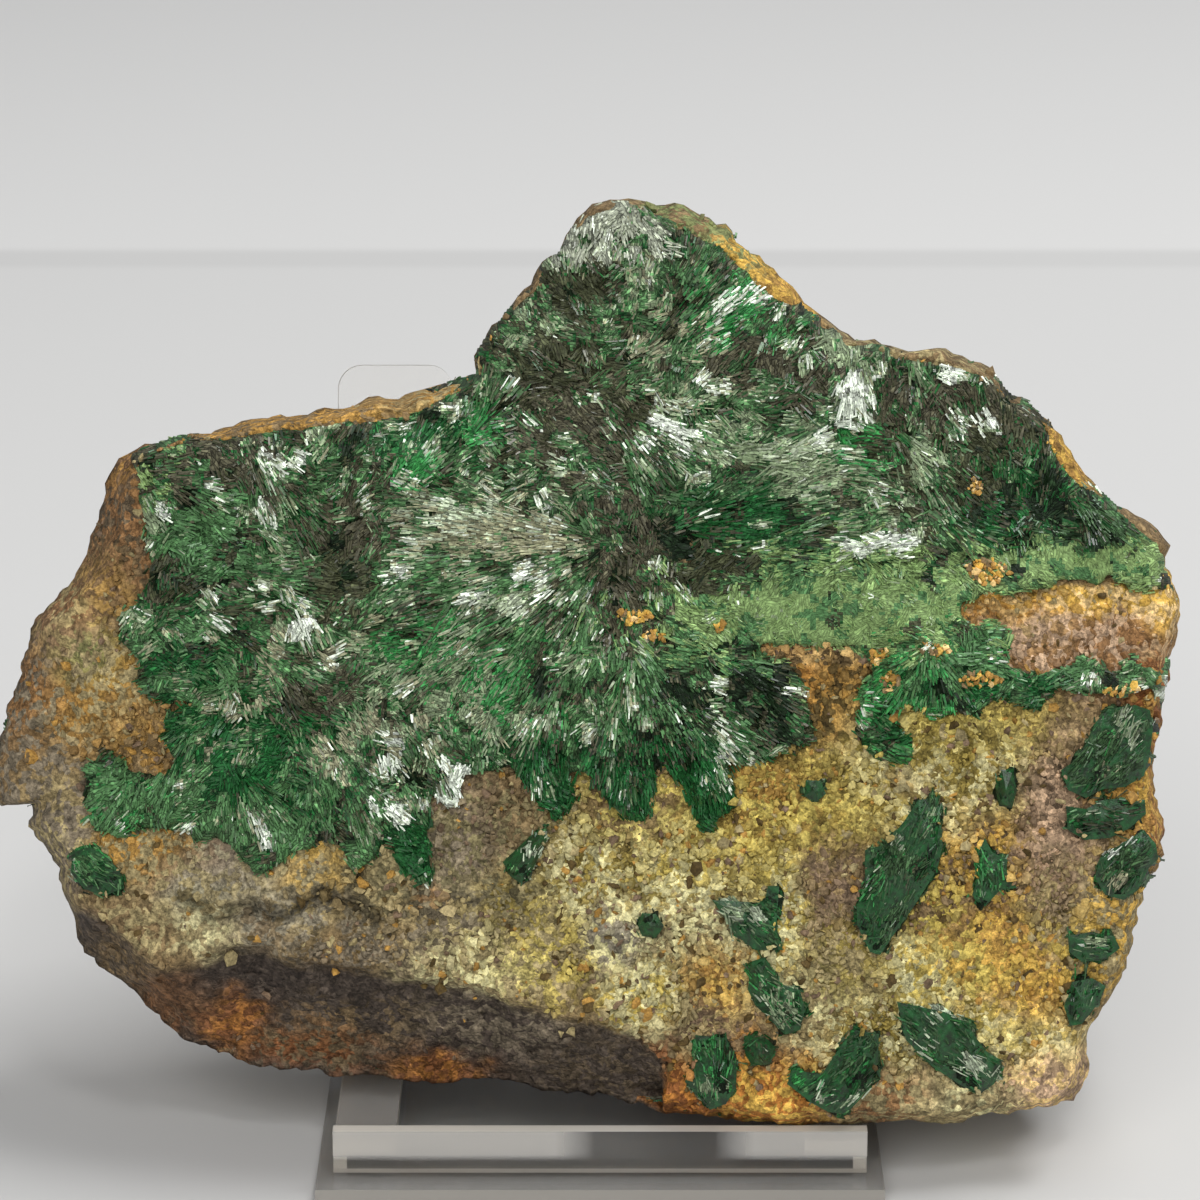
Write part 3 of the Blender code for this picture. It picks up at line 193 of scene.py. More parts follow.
# Stains of the rock: u, v, reach along u and along v, tone, tone of its flecks and how crumbly
ROCK_STAINS = (
    (-57, -8, 3, 5, "grey_brown", "russet", 0.5), (-54, -1, 3, 3, "russet", "tan", 0.5),
    (-49, 8, 3, 5, "russet", "umber", 0.6), (-50, 1, 2, 3, "brown", "ochre", 0.5),
    (-51, -6, 2.4, 2, "tan", "lichen", 0.4), (-52, -11, 3, 2.4, "tan", "ochre", 0.6),
    (-46, -8, 2.4, 3, "tan", "ochre", 0.8), (-46, -13, 3, 2, "ochre", "brown", 0.8),
    (-57, -17, 3, 3, "grey_brown", "brown", 0.4), (-55, -22, 2, 4, "grey_brown", "tan", 0.3),
    (-48, 14, 3, 1.6, "ochre", "russet", 0.6), (-44, -25, 3, 2.4, "tan", "ochre", 0.5),
    (-40, -28, 3, 2.4, "tan", "grey", 0.3), (-38, -25.4, 2.2, 2, "grey", "mauve", 0.3),
    (-34, -27, 3, 3, "tan", "grey", 0.35), (-45, -32, 2.4, 1.4, "brown", "tan", 0.4),
    (-38.6, -31.6, 2.4, 1.6, "tan", "cream", 0.4), (-35, -32, 2.4, 1.4, "grey", "mauve", 0.3),
    (-30, -26, 2.4, 2.4, "tan", "gold", 0.5), (-31, -30, 3, 2, "grey", "tan", 0.3),
    (-27.5, -29.6, 3, 1.2, "umber", "brown", 0.5), (-22, -28, 4, 3, "drab", "tan", 0.8),
    (-22, -34, 4, 2, "grey_brown", "brown", 0.9), (-14, -25, 3, 3, "drab", "grey_brown", 0.9),
    (-14, -32, 3, 2, "grey_brown", "tan", 0.9),
    (-17.6, -29, 1.2, 1.0, "grey_brown", "rust", 0.9), (-8, -23, 3, 3, "drab", "brown", 0.9),
    (-9, -30, 3, 2, "drab", "olive_ochre", 0.9), (-13, -36, 4, 2, "tan", "cream", 1.0),
    (-6, -35, 3, 2.4, "tan", "yellow", 1.0), (-2, -26, 3, 3, "olive_ochre", "cream", 1.0),
    (3, -22, 3, 3, "brown", "yellow", 1.0), (7, -27, 4, 3, "yellow", "cream", 1.0),
    (14, -24, 4, 3, "olive_ochre", "yellow", 1.0), (2, -33, 2.4, 2, "grey", "cream", 0.9),
    (5, -40, 2, 2, "yellow", "cream", 1.0), (10, -33, 4, 3, "tan", "cream", 1.0),
    (11.5, -37.5, 2, 2, "ochre", "gold", 1.0), (17, -20, 4, 2.4, "ochre", "yellow", 1.0),
    (23, -19, 3, 3, "olive_ochre", "yellow", 1.0), (18.0, -32, 1.4, 4.6, "yellow", "cream", 1.0),
    (23.4, -28.4, 2.2, 2.4, "mauve", "brown", 0.9), (24, -37, 3, 3, "tan", "olive_ochre", 1.0),
    (33, -13, 5, 2.4, "olive_ochre", "yellow", 1.0), (28, -15, 3, 3, "yellow", "cream", 1.0),
    (36, -18, 3, 3, "olive_ochre", "cream", 1.0), (38.5, -26, 2.4, 4, "brown", "gold", 1.0),
    (45, -24, 2.2, 4.4, "pink_brown", "mauve", 0.9), (46, -29, 3, 2.4, "mauve", "tan", 0.9),
    (30.5, -17.6, 1.8, 1.0, "mauve", "brown", 0.9),
    (34, -31, 3, 2, "brown", "yellow", 1.0),
    (39.6, -33.4, 2, 1.6, "ochre", "gold", 1.0), (37, -36.5, 3, 2.2, "gold", "yellow", 1.0),
    (42.5, -38.5, 2.4, 3, "ochre", "gold", 1.0), (38.5, -42, 3, 1.4, "cream", "yellow", 1.0),
    (46, -33, 2.4, 2.4, "tan", "yellow", 1.0), (31.5, -38, 2.4, 2, "yellow", "cream", 1.0),
    (50, -32, 3, 3, "tan", "gold", 0.9), (43, -44, 3, 1.6, "yellow", "cream", 1.0),
    (45.5, -47.5, 3, 2.4, "pink_brown", "amber", 0.8), (29.5, -49.8, 3, 2, "tan", "russet", 0.9),
    (36, -49.4, 3, 1.4, "tan", "cream", 0.9),
    (27, -43, 3, 3, "olive_ochre", "cream", 1.0), (20.6, -40, 2.4, 3, "tan", "cream", 0.9),
    (17, -49, 3, 2.4, "orange", "gold", 0.9), (8, -49, 3, 2.4, "rust", "orange", 0.8),
    (5, -46, 2, 1.6, "rust", "umber", 0.8), (9, -43, 3, 2, "mauve", "tan", 0.9),
    (15, -45, 3, 1.6, "brown", "orange", 0.9), (49, -0.2, 8, 0.8, "amber", "gold", 0.7),
    (41, -0.9, 3, 0.8, "ochre", "orange", 0.7), (41.5, -3.2, 3, 1.4, "pink_brown", "tan", 0.5),
    (48, -4.2, 10, 2.0, "pink_brown", "russet", 0.5), (36, -3.4, 3, 0.9, "orange", "gold", 0.9),
    (57, -1, 1.6, 2, "amber", "gold", 0.6), (21, -5.2, 6, 0.9, "brown", "amber", 1.0),
    (23.5, -10, 2.6, 4, "dark_brown", "ochre", 1.0), (17, -7, 3, 2, "dark_brown", "orange", 1.0),
    (46.5, 14, 1.5, 2, "gold", "ochre", 0.6), (-28, 18.6, 12, 1.6, "brown", "ochre", 0.6),
    (-17, 20.8, 5, 1.4, "ochre", "tan", 0.5), (10, 38.5, 3, 1.6, "brown", "lichen", 0.6),
    (14.5, 35, 2, 2, "gold", "lichen", 0.5), (18, 31.5, 2.4, 2, "gold", "ochre", 0.5),
    (32, 25, 6, 1.0, "brown", "tan", 0.5), (53, -19, 2, 2, "gold", "ochre", 0.8),
    (56, -13, 1.5, 6, "ochre", "rust", 0.7))
UNDERSIDE_STAINS = (
    (-43, -40.5, 2.6, 1.8, "rust", "umber", 0.7), (-36.5, -42, 2.0, 1.6, "rust", "orange", 0.8),
    (-29, -44.6, 4, 1.4, "brown", "rust", 0.7), (-16, -47, 3, 1.0, "rust", "orange", 0.9),
    (-24, -42, 4, 1.6, "slate", "brown", 0.6), (0, -46.6, 4, 2, "umber", "slate", 0.5),
    (-48, -37, 3, 2, "umber", "brown", 0.4), (-30, -38, 8, 1.6, "slate", "soot", 0.4),
    (-10, -42, 6, 2, "slate", "grey_brown", 0.5), (-44, -40, 3, 1.6, "umber", "rust", 0.7))

# Open cracks of the rock, as corner points
ROCK_CRACKS = (((-32.6, -32.4), (-29.6, -30.6), (-27.0, -28.6), (-24.4, -27.6)),
               ((-29.0, -30.2), (-25.6, -30.4), (-22.0, -31.6)),
               ((-41.0, -30.0), (-38.0, -31.4), (-35.4, -30.6), (-33.4, -32.0)))

# Places where bare rock shows along the silhouette beside the crust: u, v, reaches
BARE_RIM = ((-29, 18.5, 12, 3.0), (-50, 8, 3, 8), (8, 39, 5, 1.6), (17, 33, 4.4, 3.0),
            (24, 27, 1.5, 1.2), (34, 25.2, 4, 1.0), (46.6, 15, 1.4, 2.2), (56.5, 4.0, 1.5, 1.2))

# Ochre crumbs that sit on the crust: u, v, reaches
ISLANDS = ((38.8, 3.0, 1.7, 1.0), (37.6, 11.6, 0.7, 0.6), (3.4, -1.6, 1.5, 0.6),
           (5.4, -3.6, 0.8, 0.5), (12.0, -2.6, 0.5, 0.5), (27.0, -5.6, 1.5, 0.6),
           (38.0, -8.0, 1.6, 0.6), (33.5, -5.0, 1.2, 0.5), (52.0, -9.0, 1.4, 0.5),
           (29.0, -8.0, 0.8, 0.8))

# Fine open cracks of the crust, as corner points, and hollows: u, v, reaches and depth
CRACKS = (((-20.6, -3.4), (-16.0, -3.9), (-11.0, -2.6), (-7.6, -0.8)),
          ((29.0, 17.0), (33.0, 16.2), (36.5, 15.6)), ((24.0, 4.0), (30.0, 3.8), (34.0, 4.4)),
          ((-31.0, 9.6), (-28.0, 8.2), (-25.6, 8.8)), ((3.0, 20.4), (7.0, 18.8), (11.0, 18.6)))
HOLLOWS = ((8.6, 5.0, 1.6, 1.6, -1.2), (11.0, 2.4, 2.2, 2.0, -0.5), (43.0, 9.6, 3.2, 2.6, -1.0),
           (-27.5, 2.0, 1.8, 2.6, -0.7), (-26.0, 10.6, 1.4, 1.2, -0.6), (35.0, 19.2, 3.4, 1.0, -0.7),
           (16.0, 22.6, 2.0, 1.2, -0.5), (-3.0, 18.0, 3.0, 3.0, -0.5), (-18.0, 18.0, 2.0, 1.0, -0.4),
           (-40.0, 12.4, 2.2, 1.2, -0.5), (-28.0, -9.6, 4.0, 3.0, -0.4))

# Tones of the crust: u, v, reach along u and v, tone and strength; the glint rows paint highlights
CRUST_TONES = (
    (6.4, 15.9, 2.6, 1.4, "glint", 2.2), (25.0, 19.4, 1.8, 1.6, "glint", 2.2),
    (34.4, 23.0, 1.0, 0.8, "glint", 2.4), (-32.5, 13.6, 2.4, 1.2, "glint", 0.7),
    (-22.6, 13.4, 1.2, 1.6, "glint", 1.2), (-24.2, 9.4, 1.1, 0.9, "glint", 1.8),
    (-9.0, 18.2, 1.4, 1.4, "glint", 0.9), (-21.2, -18.4, 1.0, 2.4, "glint", 3.0),
    (-15.4, -18.5, 1.0, 1.6, "glint", 2.6), (21.0, 4.6, 7.0, 0.7, "glint", 1.0),
    (29.0, 5.4, 2.4, 0.6, "glint", 1.6), (13.5, 5.4, 1.4, 0.6, "glint", 2.2),
    (2.5, -17.6, 1.4, 2.0, "glint", 0.8), (-24.0, -2.6, 1.2, 1.0, "glint", 1.2),
    (-30.4, -2.4, 0.8, 1.8, "glint", 1.8), (-37.5, -2.4, 1.3, 0.7, "glint", 1.8),
    (-43.4, 9.4, 1.2, 0.6, "glint", 1.0), (-10.5, -6.8, 2.0, 1.3, "glint", 0.8),
    (9.8, 30.2, 1.0, 0.9, "glint", 1.2), (17.8, 29.0, 1.0, 1.1, "glint", 1.2),
    (-6.0, 2.4, 2.0, 1.0, "glint", 0.9), (54.0, -11.0, 0.7, 0.7, "glint", 1.2),
    (-29.0, -10.0, 9.0, 4.5, "straw", 1.0), (3.0, 25.0, 6.0, 3.6, "straw", 0.25),
    (-27.0, 5.5, 13.0, 6.0, "pale", 0.1),
    (-7.0, 12.6, 3.0, 0.8, "pale", 0.7), (-12.0, 8.8, 3.4, 1.4, "pale", 0.8),
    (19.5, -9.8, 0.9, 0.9, "glint", 1.0), (-8.2, -0.8, 2.0, 0.9, "pale", 1.2),
    (20.0, 14.4, 4.0, 1.4, "pale", 0.8), (-45.0, 8.0, 2.0, 1.0, "sage", 0.7),
    (0.5, 37.4, 3.4, 2.2, "ash", 3.0), (-3.4, 34.8, 2.0, 1.6, "ash", 1.6),
    (-3.5, 17.5, 4.0, 3.4, "bark", 1.2), (-2.0, 21.0, 4.0, 4.0, "olive", 1.2),
    (3.5, 8.4, 3.4, 2.4, "bark", 1.0), (19.0, 23.6, 4.4, 1.7, "bark", 1.6),
    (1.0, 0.0, 3.0, 3.4, "bark", 1.0), (11.0, 3.0, 3.0, 2.4, "olive", 3.4),
    (-27.0, -9.6, 4.4, 3.0, "bark", 1.2), (-30.0, -8.0, 5.0, 3.0, "olive", 0.6),
    (-39.5, 12.6, 4.0, 2.0, "bark", 1.2), (35.0, 19.4, 4.4, 1.4, "bark", 1.5),
    (30.0, 12.0, 4.0, 4.0, "olive", 0.8), (-5.0, 31.0, 4.0, 2.4, "olive", 1.0),
    (38.0, 14.0, 4.0, 2.6, "olive", 1.6), (-24.0, 8.0, 2.0, 2.4, "bark", 1.4),
    # The deep rows at (8.4, 5.0), (43.0, 9.4), (-27.0, 0.6) and (-18.0, 18.0) sit on the hollows: painted
    # shade in them
    (8.4, 5.0, 1.6, 1.6, "deep", 6.0), (43.0, 9.4, 3.2, 2.8, "deep", 2.6),
    (42.0, 10.4, 3.2, 2.8, "emerald", 1.2), (49.0, 8.0, 3.0, 2.4, "forest", 1.2),
    (-27.0, 1.5, 2.4, 2.8, "olive", 1.2), (-27.0, 0.6, 1.6, 2.0, "deep", 0.6),
    (-38.0, -1.0, 3.0, 2.0, "olive", 0.6), (-18.0, 18.0, 2.6, 1.4, "deep", 1.2),
    (4.0, -13.0, 6.0, 4.0, "deep", 0.4), (13.0, -10.0, 3.4, 3.0, "deep", 1.2),
    (14.5, 28.6, 3.2, 2.0, "bright", 0.9), (25.8, 15.4, 1.4, 1.2, "bright", 2.4),
    (-12.0, 17.4, 1.2, 1.0, "bright", 1.4), (-11.5, -8.5, 4.0, 2.4, "bright", 0.5),
    (13.0, 8.0, 3.0, 1.8, "emerald", 2.4), (-19.0, 13.2, 1.0, 1.0, "bright", 1.8),
    (-17.0, 16.5, 2.6, 1.2, "emerald", 1.6), (-39.0, 6.6, 2.8, 2.4, "leaf", 1.6),
    (-46.0, -19.5, 4.0, 3.0, "leaf", 2.0), (-18.5, -4.5, 3.0, 1.4, "bright", 0.9),
    (-47.0, -22.0, 3.0, 2.4, "bright", 1.0), (-42.0, -8.5, 3.6, 2.4, "leaf", 1.2),
    (-40.0, -8.0, 4.0, 4.0, "emerald", 0.8), (-30.0, -21.0, 5.0, 3.0, "leaf", 1.2),
    (-36.0, -15.0, 6.0, 4.0, "emerald", 1.2), (-12.0, 6.5, 7.0, 2.4, "straw", 0.5),
    (-17.0, 3.0, 5.0, 2.0, "leaf", 0.5),
    (-14.0, -9.0, 5.0, 3.0, "sage", 0.6), (-34.0, -6.0, 6.0, 5.0, "leaf", 0.7),
    (-20.0, -8.0, 6.0, 4.0, "sage", 0.7), (-36.0, -16.0, 5.0, 3.0, "pale", 0.2),
    (20.0, 13.6, 6.0, 3.0, "sage", 1.0), (10.0, 9.0, 4.0, 2.0, "forest", 1.0),
    (26.0, 25.0, 3.0, 2.0, "sage", 2.2), (32.0, 13.0, 3.0, 3.0, "sage", 1.0),
    (-8.0, 30.0, 3.0, 3.0, "sage", 0.8), (8.0, -20.0, 4.0, 3.0, "emerald", 3.0),
    (-5.0, -18.5, 3.0, 2.4, "emerald", 2.2), (4.0, -9.0, 7.0, 4.0, "leaf", 0.6),
    (3.0, -14.0, 6.0, 4.0, "pale", 0.22),
    (32.0, -8.0, 6.0, 3.0, "leaf", 1.0), (33.0, -8.0, 6.0, 3.0, "bright", 0.5),
    (50.0, -7.6, 5.0, 1.6, "leaf", 1.0),
    (38.0, -5.6, 3.0, 1.4, "leaf", 1.6), (28.0, -5.6, 2.0, 1.4, "sage", 1.4),
    (-18.6, -25.4, 1.6, 2.0, "emerald", 4.0), (22.0, -1.4, 8.0, 2.8, "moss", 8.0),
    (22.0, -0.6, 7.0, 2.2, "leaf", 3.4), (20.0, -2.0, 6.0, 2.0, "sage", 1.6),
    (33.0, -0.4, 4.0, 2.0, "moss", 4.0), (49.0, 3.6, 6.0, 1.4, "moss", 6.0),
    (49.0, 3.2, 5.0, 1.2, "leaf", 2.4),
    (31.5, -11.0, 2.4, 2.6, "bright", 2.4), (30.6, -12.0, 1.8, 2.0, "emerald", 2.0),
    (40.0, -9.0, 3.0, 2.0, "emerald", 1.2),
    (43.0, 4.0, 3.0, 1.0, "moss", 5.0), (-45.0, 13.0, 1.6, 1.4, "moss", 1.6),
    (30.0, -2.0, 5.0, 1.6, "olive", 2.0), (16.0, -3.0, 3.0, 1.4, "leaf", 2.0))
# Shares of the crystal tones everywhere, for the crust and the separate groups; the crust's glint share is
# painted highlight
BASE_TONES = (("deep", 0.13), ("olive", 0.15), ("bark", 0.09), ("emerald", 0.07),
              ("forest", 0.18), ("leaf", 0.13), ("sage", 0.12), ("straw", 0.04), ("pale", 0.06),
              ("glint", 0.03))
GROUP_TONES = (("deep", 0.34), ("emerald", 0.32), ("forest", 0.13), ("leaf", 0.10),
               ("bright", 0.06), ("sage", 0.04), ("pale", 0.01))

# Tones of the separate groups: u, v, reach along u and v, tone and strength; the glint rows paint
# highlights
GROUP_ZONES = (
    (12.4, -31.6, 1.4, 2.2, "sage", 1.6), (14.2, -30.0, 1.4, 1.0, "pale", 0.9),
    (18.2, -40.6, 0.9, 1.8, "sage", 1.4), (16.2, -37.0, 1.0, 1.4, "bright", 0.5),
    (29.6, -28.0, 2.0, 5.0, "forest", 1.2), (31.0, -30.4, 1.0, 3.0, "olive", 1.2),
    (31.6, -22.0, 1.4, 1.2, "sage", 0.8), (26.4, -30.0, 0.8, 3.4, "bright", 0.5),
    (39.0, -28.2, 2.0, 1.8, "bright", 0.7), (40.4, -19.8, 1.2, 0.5, "pale", 2.0),
    (21.5, -19.0, 1.4, 1.4, "forest", 2.0), (24.4, -50.2, 1.6, 0.7, "pale", 1.2),
    (20.4, -47.6, 1.4, 1.2, "bright", 0.9), (25.6, -46.0, 1.4, 2.4, "forest", 0.9),
    (33.2, -41.8, 1.6, 0.7, "pale", 1.4), (38.2, -47.0, 1.8, 0.8, "pale", 1.4),
    (35.0, -44.6, 2.4, 1.2, "forest", 1.0), (50.6, -15.0, 3.2, 3.0, "forest", 1.6),
    (52.4, -13.4, 1.4, 1.2, "sage", 1.8), (50.4, -17.2, 1.0, 0.6, "straw", 1.2),
    (48.6, -21.2, 1.0, 0.7, "pale", 1.8), (52.0, -22.2, 1.6, 1.0, "olive", 1.8),
    (51.8, -25.0, 1.2, 0.6, "glint", 2.4), (51.2, -28.2, 0.9, 0.5, "straw", 2.4),
    (53.4, -27.0, 1.6, 2.0, "forest", 1.4), (49.5, -34.2, 2.0, 0.8, "sage", 1.6),
    (47.6, -34.0, 0.7, 0.6, "glint", 1.4), (-7.0, -25.0, 1.1, 1.8, "pale", 1.6),
    (11.4, -45.6, 1.6, 1.6, "bright", 0.7), (10.0, -49.0, 0.9, 0.8, "sage", 1.4),
    (16.0, -45.0, 1.6, 1.6, "olive", 1.2), (-50.4, -27.0, 2.0, 2.0, "leaf", 1.0),
    (-51.6, -25.6, 1.0, 1.0, "bright", 0.9))

# How the crust and the separate groups differ: base tones, tone zones, shade, rounds of smoothing
# of the skin's edge, share of the needles, whether it has hollows, and the solid it stands for
Growth = namedtuple("Growth", "base zones shade smoothing needle_share hollows replaced")
GROWTHS = {"crust": Growth(BASE_TONES, CRUST_TONES, 1.0, 6, 1.0, True, ("atacamite_crust",)),
           "group": Growth(GROUP_TONES, GROUP_ZONES, 0.78, 3, 0.45, False, ())}

# Parts of the crust grown over by short felted crystals: u, v, reach along u and v
FELT = ((22.0, -1.6, 8.0, 2.8), (33.0, -0.6, 3.6, 2.2), (49.0, 3.6, 6.4, 1.6), (43.0, 3.8, 3.0, 1.2))

# Large sprays: root u, v, heading and opening in degrees, reach in mm
SPRAYS = (
    (1.5, 5.5, 180, 44, 23), (1.5, 5.5, 222, 42, 19), (6.0, 7.0, 14, 42, 19), (11.0, 14.5, -3, 20, 17),
    (0.0, 20.0, -42, 50, 11), (3.0, -4.0, 285, 70, 17), (4.0, 24.0, 48, 36, 15), (9.0, 26.0, 38, 34, 11),
    (-3.0, 30.0, 120, 70, 8), (-13.0, 16.0, 56, 44, 8), (-22.0, 9.0, 48, 44, 10), (-36.0, 17.0, 300, 34, 9),
    (-33.0, 12.5, -50, 36, 9), (-45.0, 12.5, -25, 40, 9), (-38.0, 3.0, -10, 34, 10),
    (-31.5, 1.5, -66, 24, 7), (-40.0, -1.0, -18, 46, 8), (-25.5, -3.4, 28, 56, 7),
    (-34.0, -5.0, -40, 56, 8), (-21.0, -10.0, 40, 40, 13), (-27.5, -13.6, -60, 30, 10),
    (-18.0, -13.6, -62, 30, 7), (-40.0, -12.0, 215, 70, 8), (-37.0, -16.0, 290, 70, 9),
    (25.5, 26.0, 270, 40, 7), (31.0, 24.6, 280, 44, 6), (29.0, 17.0, -50, 34, 10), (33.0, 9.0, -32, 34, 7),
    (12.0, 4.5, 8, 26, 11), (23.0, 4.2, 10, 20, 9), (44.0, 9.0, 60, 70, 7), (48.0, 10.0, -60, 70, 7),
    (6.0, -9.0, 318, 36, 10), (10.0, -5.0, -22, 36, 10), (-4.0, -8.0, 250, 50, 9), (1.5, -12.0, 292, 30, 9),
    (9.5, -11.0, 282, 28, 11), (15.0, -8.0, -35, 50, 7), (-6.5, -12.0, 272, 46, 8),
    (33.0, -4.6, 250, 130, 7), (-47.0, -18.0, 200, 90, 5), (-12.0, -4.0, 200, 60, 9))

# Headings of the fine needles, in degrees, where the face shows them: u, v, heading
STREAKS = (
    (-44, 10, 155), (-42, 4, 45), (-35, 15, 120), (-30, 13.5, 135), (-25.5, 14.5, 45), (-22, 14.5, 50),
    (-31, 9, 120), (-25, 10, 20), (-20, 7, 45), (-17, 9, 5), (-17, 13, 38), (-14, 18, 48), (-12, 5, 3),
    (-12, 14, 20), (-11, 17, 150), (-33, 2, 170), (-38, 2.5, 170), (-31, -2.5, 115), (-37, -2.5, 160),
    (-24, -2.5, 25), (-14, 0, 10), (-16, -6, 35), (-11, -5, 40), (-6, 1, 30), (-7, -1, 30),
    (-33, -6, 140), (-21, -18, 120), (-16, -18.5, 120), (-40, -16, 45), (0, 36, 60), (6, 36.5, 120),
    (8, 33, 120), (10, 30, 48), (14, 29, 35), (18, 29, 55), (6, 27, 40), (8, 23, 35), (-4, 29, 140),
    (-4, 23, 160), (4, 17, 150), (8, 16, 120), (16, 15, 175), (20, 13, 175), (23, 11, 175),
    (14, 10, 25), (12, 8, 25), (26, 26, 90), (31, 24, 90), (31, 19, 110), (30, 13, 130),
    (34, 12, 130), (33, 7, 150), (28, 5, 0), (14, 5, 15), (22, 3, 20), (-4, -3, 45), (2, 4, 110),
    (4, 1, 125), (9, -6, 150), (0, -8, 90), (4, -17, 120), (10, -17, 110), (16, -10, 160))


def face_direction(right, up, out):
    """World direction of a face vector."""
    return right[..., None] * RIGHT + up[..., None] * UP + out[..., None] * OUT


def place(u, v, w):
    """World points in metres of places u, v seen by the eye, w deep; none under the shelf."""
    spread = (EYE_DISTANCE - w) / EYE_DISTANCE
    lowest = (SHELF_HEIGHT - FACE_CENTRE[2] - w * math.sin(FACE_LEAN)) / math.cos(FACE_LEAN)
    up = np.maximum(v * spread, lowest)
    return (FACE_CENTRE + face_direction(u * spread, up, w)) * MILLIMETRE


def linear(tone):
    """Linear colour of a tone given out of 255."""
    colour = np.asarray(tone, float) / 255.0
    return np.where(colour <= 0.04045, colour / 12.92, ((colour + 0.055) / 1.055) ** 2.4)


def lumps(places, cell, seed):
    """Smooth random hills from -1 to 1: values hashed at the corners of a lattice, blended."""
    scaled = np.asarray(places, float) / cell
    low = np.floor(scaled).astype(np.int64)
    part = scaled - low
    part = part * part * (3.0 - 2.0 * part)
    total = np.zeros(len(scaled))
    for corner in range(8):
        offset = np.array((corner & 1, corner >> 1 & 1, corner >> 2 & 1))
        key = (low + offset + 4096) * np.array((73856093, 19349663, 83492791))
        mixed = (key[:, 0] ^ key[:, 1] ^ key[:, 2] ^ (seed * 2654435761)) & 0xFFFFFFFF
        mixed = ((mixed ^ (mixed >> 13)) * 1274126177) & 0xFFFFFFFF
        value = ((mixed ^ (mixed >> 16)) & 0xFFFF) / 32767.5 - 1.0
        total += value * np.prod(np.where(offset, part, 1.0 - part), axis=1)
    return total


def face_lumps(u, v, cell, seed):
    """Random hills over the face."""
    return lumps(np.stack((u, v, np.full_like(u, 0.5)), axis=1), cell, seed)


def fractal(places, cell, seed, octaves):
    """Sum of hills, each octave half as large and half as high as the one before."""
    return sum(lumps(places, cell / 2 ** k, seed + k) / 2 ** k for k in range(octaves))


def pebbles(places, cell, seed):
    """Rounded pebbles: 1 at each random centre, falling with distance to the nearest centre."""
    scaled = np.asarray(places, float) / cell
    low = np.floor(scaled).astype(np.int64)
    nearest = np.full(len(scaled), 9.0)
    for step in range(27):
        offset = np.array((step % 3 - 1, step // 3 % 3 - 1, step // 9 - 1))
        corner = low + offset
        centre = np.stack([0.5 + 0.42 * lumps(corner + 0.5 * k, 0.73, seed + k) for k in range(3)], 1)
        nearest = np.minimum(nearest, ((corner + centre - scaled) ** 2).sum(1))
    return 1.0 - np.sqrt(nearest)


def silhouette_rows():
    """Rows of u, v, rim depth and rounding width around the silhouette."""
    rows = []
    for start, end, width, points in SILHOUETTE.values():
        for index, (u, v) in enumerate(points):
            rows.append((u, v, start + (end - start) * index / (len(points) - 1), width))
    return np.array(rows)


def resampled(rows, count, high_share=1.0):
    """The closed line with count points along it, more thinly where it runs above the middle."""
    closed = np.vstack((rows, rows[:1]))
    length = np.hypot(*np.diff(closed[:, :2], axis=0).T)
    length *= np.where(closed[1:, 1] > 4.0, high_share, 1.0)
    along = np.concatenate(((0.0,), np.cumsum(length)))
    wanted = np.linspace(0.0, along[-1], count, endpoint=False)
    return np.stack([np.interp(wanted, along, closed[:, k]) for k in range(rows.shape[1])], 1)


def undercut_share(u, v):
    """How far a place lies below the broken edge, from 0 at the edge to 1 at the silhouette."""
    edge = np.array(UNDERCUT_EDGE)
    rim = np.array(SILHOUETTE["undercut"][3][::-1])
    edge_height = np.interp(u, edge[:, 0], edge[:, 1])
    rim_height = np.interp(u, rim[:, 0], rim[:, 1])
    below = np.clip((edge_height - v) / np.maximum(edge_height - rim_height, 1.0), 0.0, 1.0)
    return np.where((u > edge[0, 0]) & (u < edge[-1, 0]), below, 0.0)


def rock_depth(u, v):
    """Depth of the rock's face: Gaussian mean of the relief points, lumps and the undercut."""
    relief = np.array(RELIEF, float)
    top = np.zeros(len(u))
    total = np.zeros(len(u))
    for centre_u, centre_v, depth in relief:
        squared = (u - centre_u) ** 2 + (v - centre_v) ** 2
        weight = np.exp(-squared / (2.0 * RELIEF_REACH ** 2)) + 1e-9
        top += weight * depth
        total += weight
    depth = top / total
    depth += ROCK_LUMPS * face_lumps(u, v, 4.1, 3) + ROCK_LUMPS * face_lumps(u, v, 9.0, 5)
    start, end, _, points = SILHOUETTE["undercut"]
    rim_depth = np.interp(u, (points[-1][0], points[0][0]), (end, start))
    return depth + (rim_depth - depth) * undercut_share(u, v) ** 0.75


def flat(array):
    """Array as one row of values."""
    return np.ascontiguousarray(array).ravel()


def new_mesh(name, corners, polygons, smooth=False, point=None, corner=None):
    """Object of world points and equal-sided polygon arrays. Colours are given per point and
    values per polygon corner, each under the attribute's name."""
    mesh = bpy.data.meshes.new(name)
    mesh.vertices.add(len(corners))
    mesh.vertices.foreach_set("co", flat(corners.astype(np.float32)))
    sizes = np.concatenate([np.full(len(p), p.shape[1]) for p in polygons])
    mesh.loops.add(int(sizes.sum()))
    mesh.loops.foreach_set("vertex_index", np.concatenate([flat(p) for p in polygons]).astype(np.int32))
    mesh.polygons.add(len(sizes))
    starts = np.concatenate(((0,), np.cumsum(sizes)[:-1]))
    mesh.polygons.foreach_set("loop_start", starts.astype(np.int32))
    mesh.update(calc_edges=True)
    mesh.polygons.foreach_set("use_smooth", np.full(len(mesh.polygons), smooth))
    for domain, table in (("POINT", point or {}), ("CORNER", corner or {})):
        for key, values in table.items():
            if values.shape[1] == 3:
                values = np.hstack((values, np.ones((len(values), 1))))
            layer = mesh.attributes.new(key, "FLOAT_COLOR", domain)
            layer.data.foreach_set("color", flat(values.astype(np.float32)))
    item = bpy.data.objects.new(name, mesh)
    bpy.context.collection.objects.link(item)
    return item


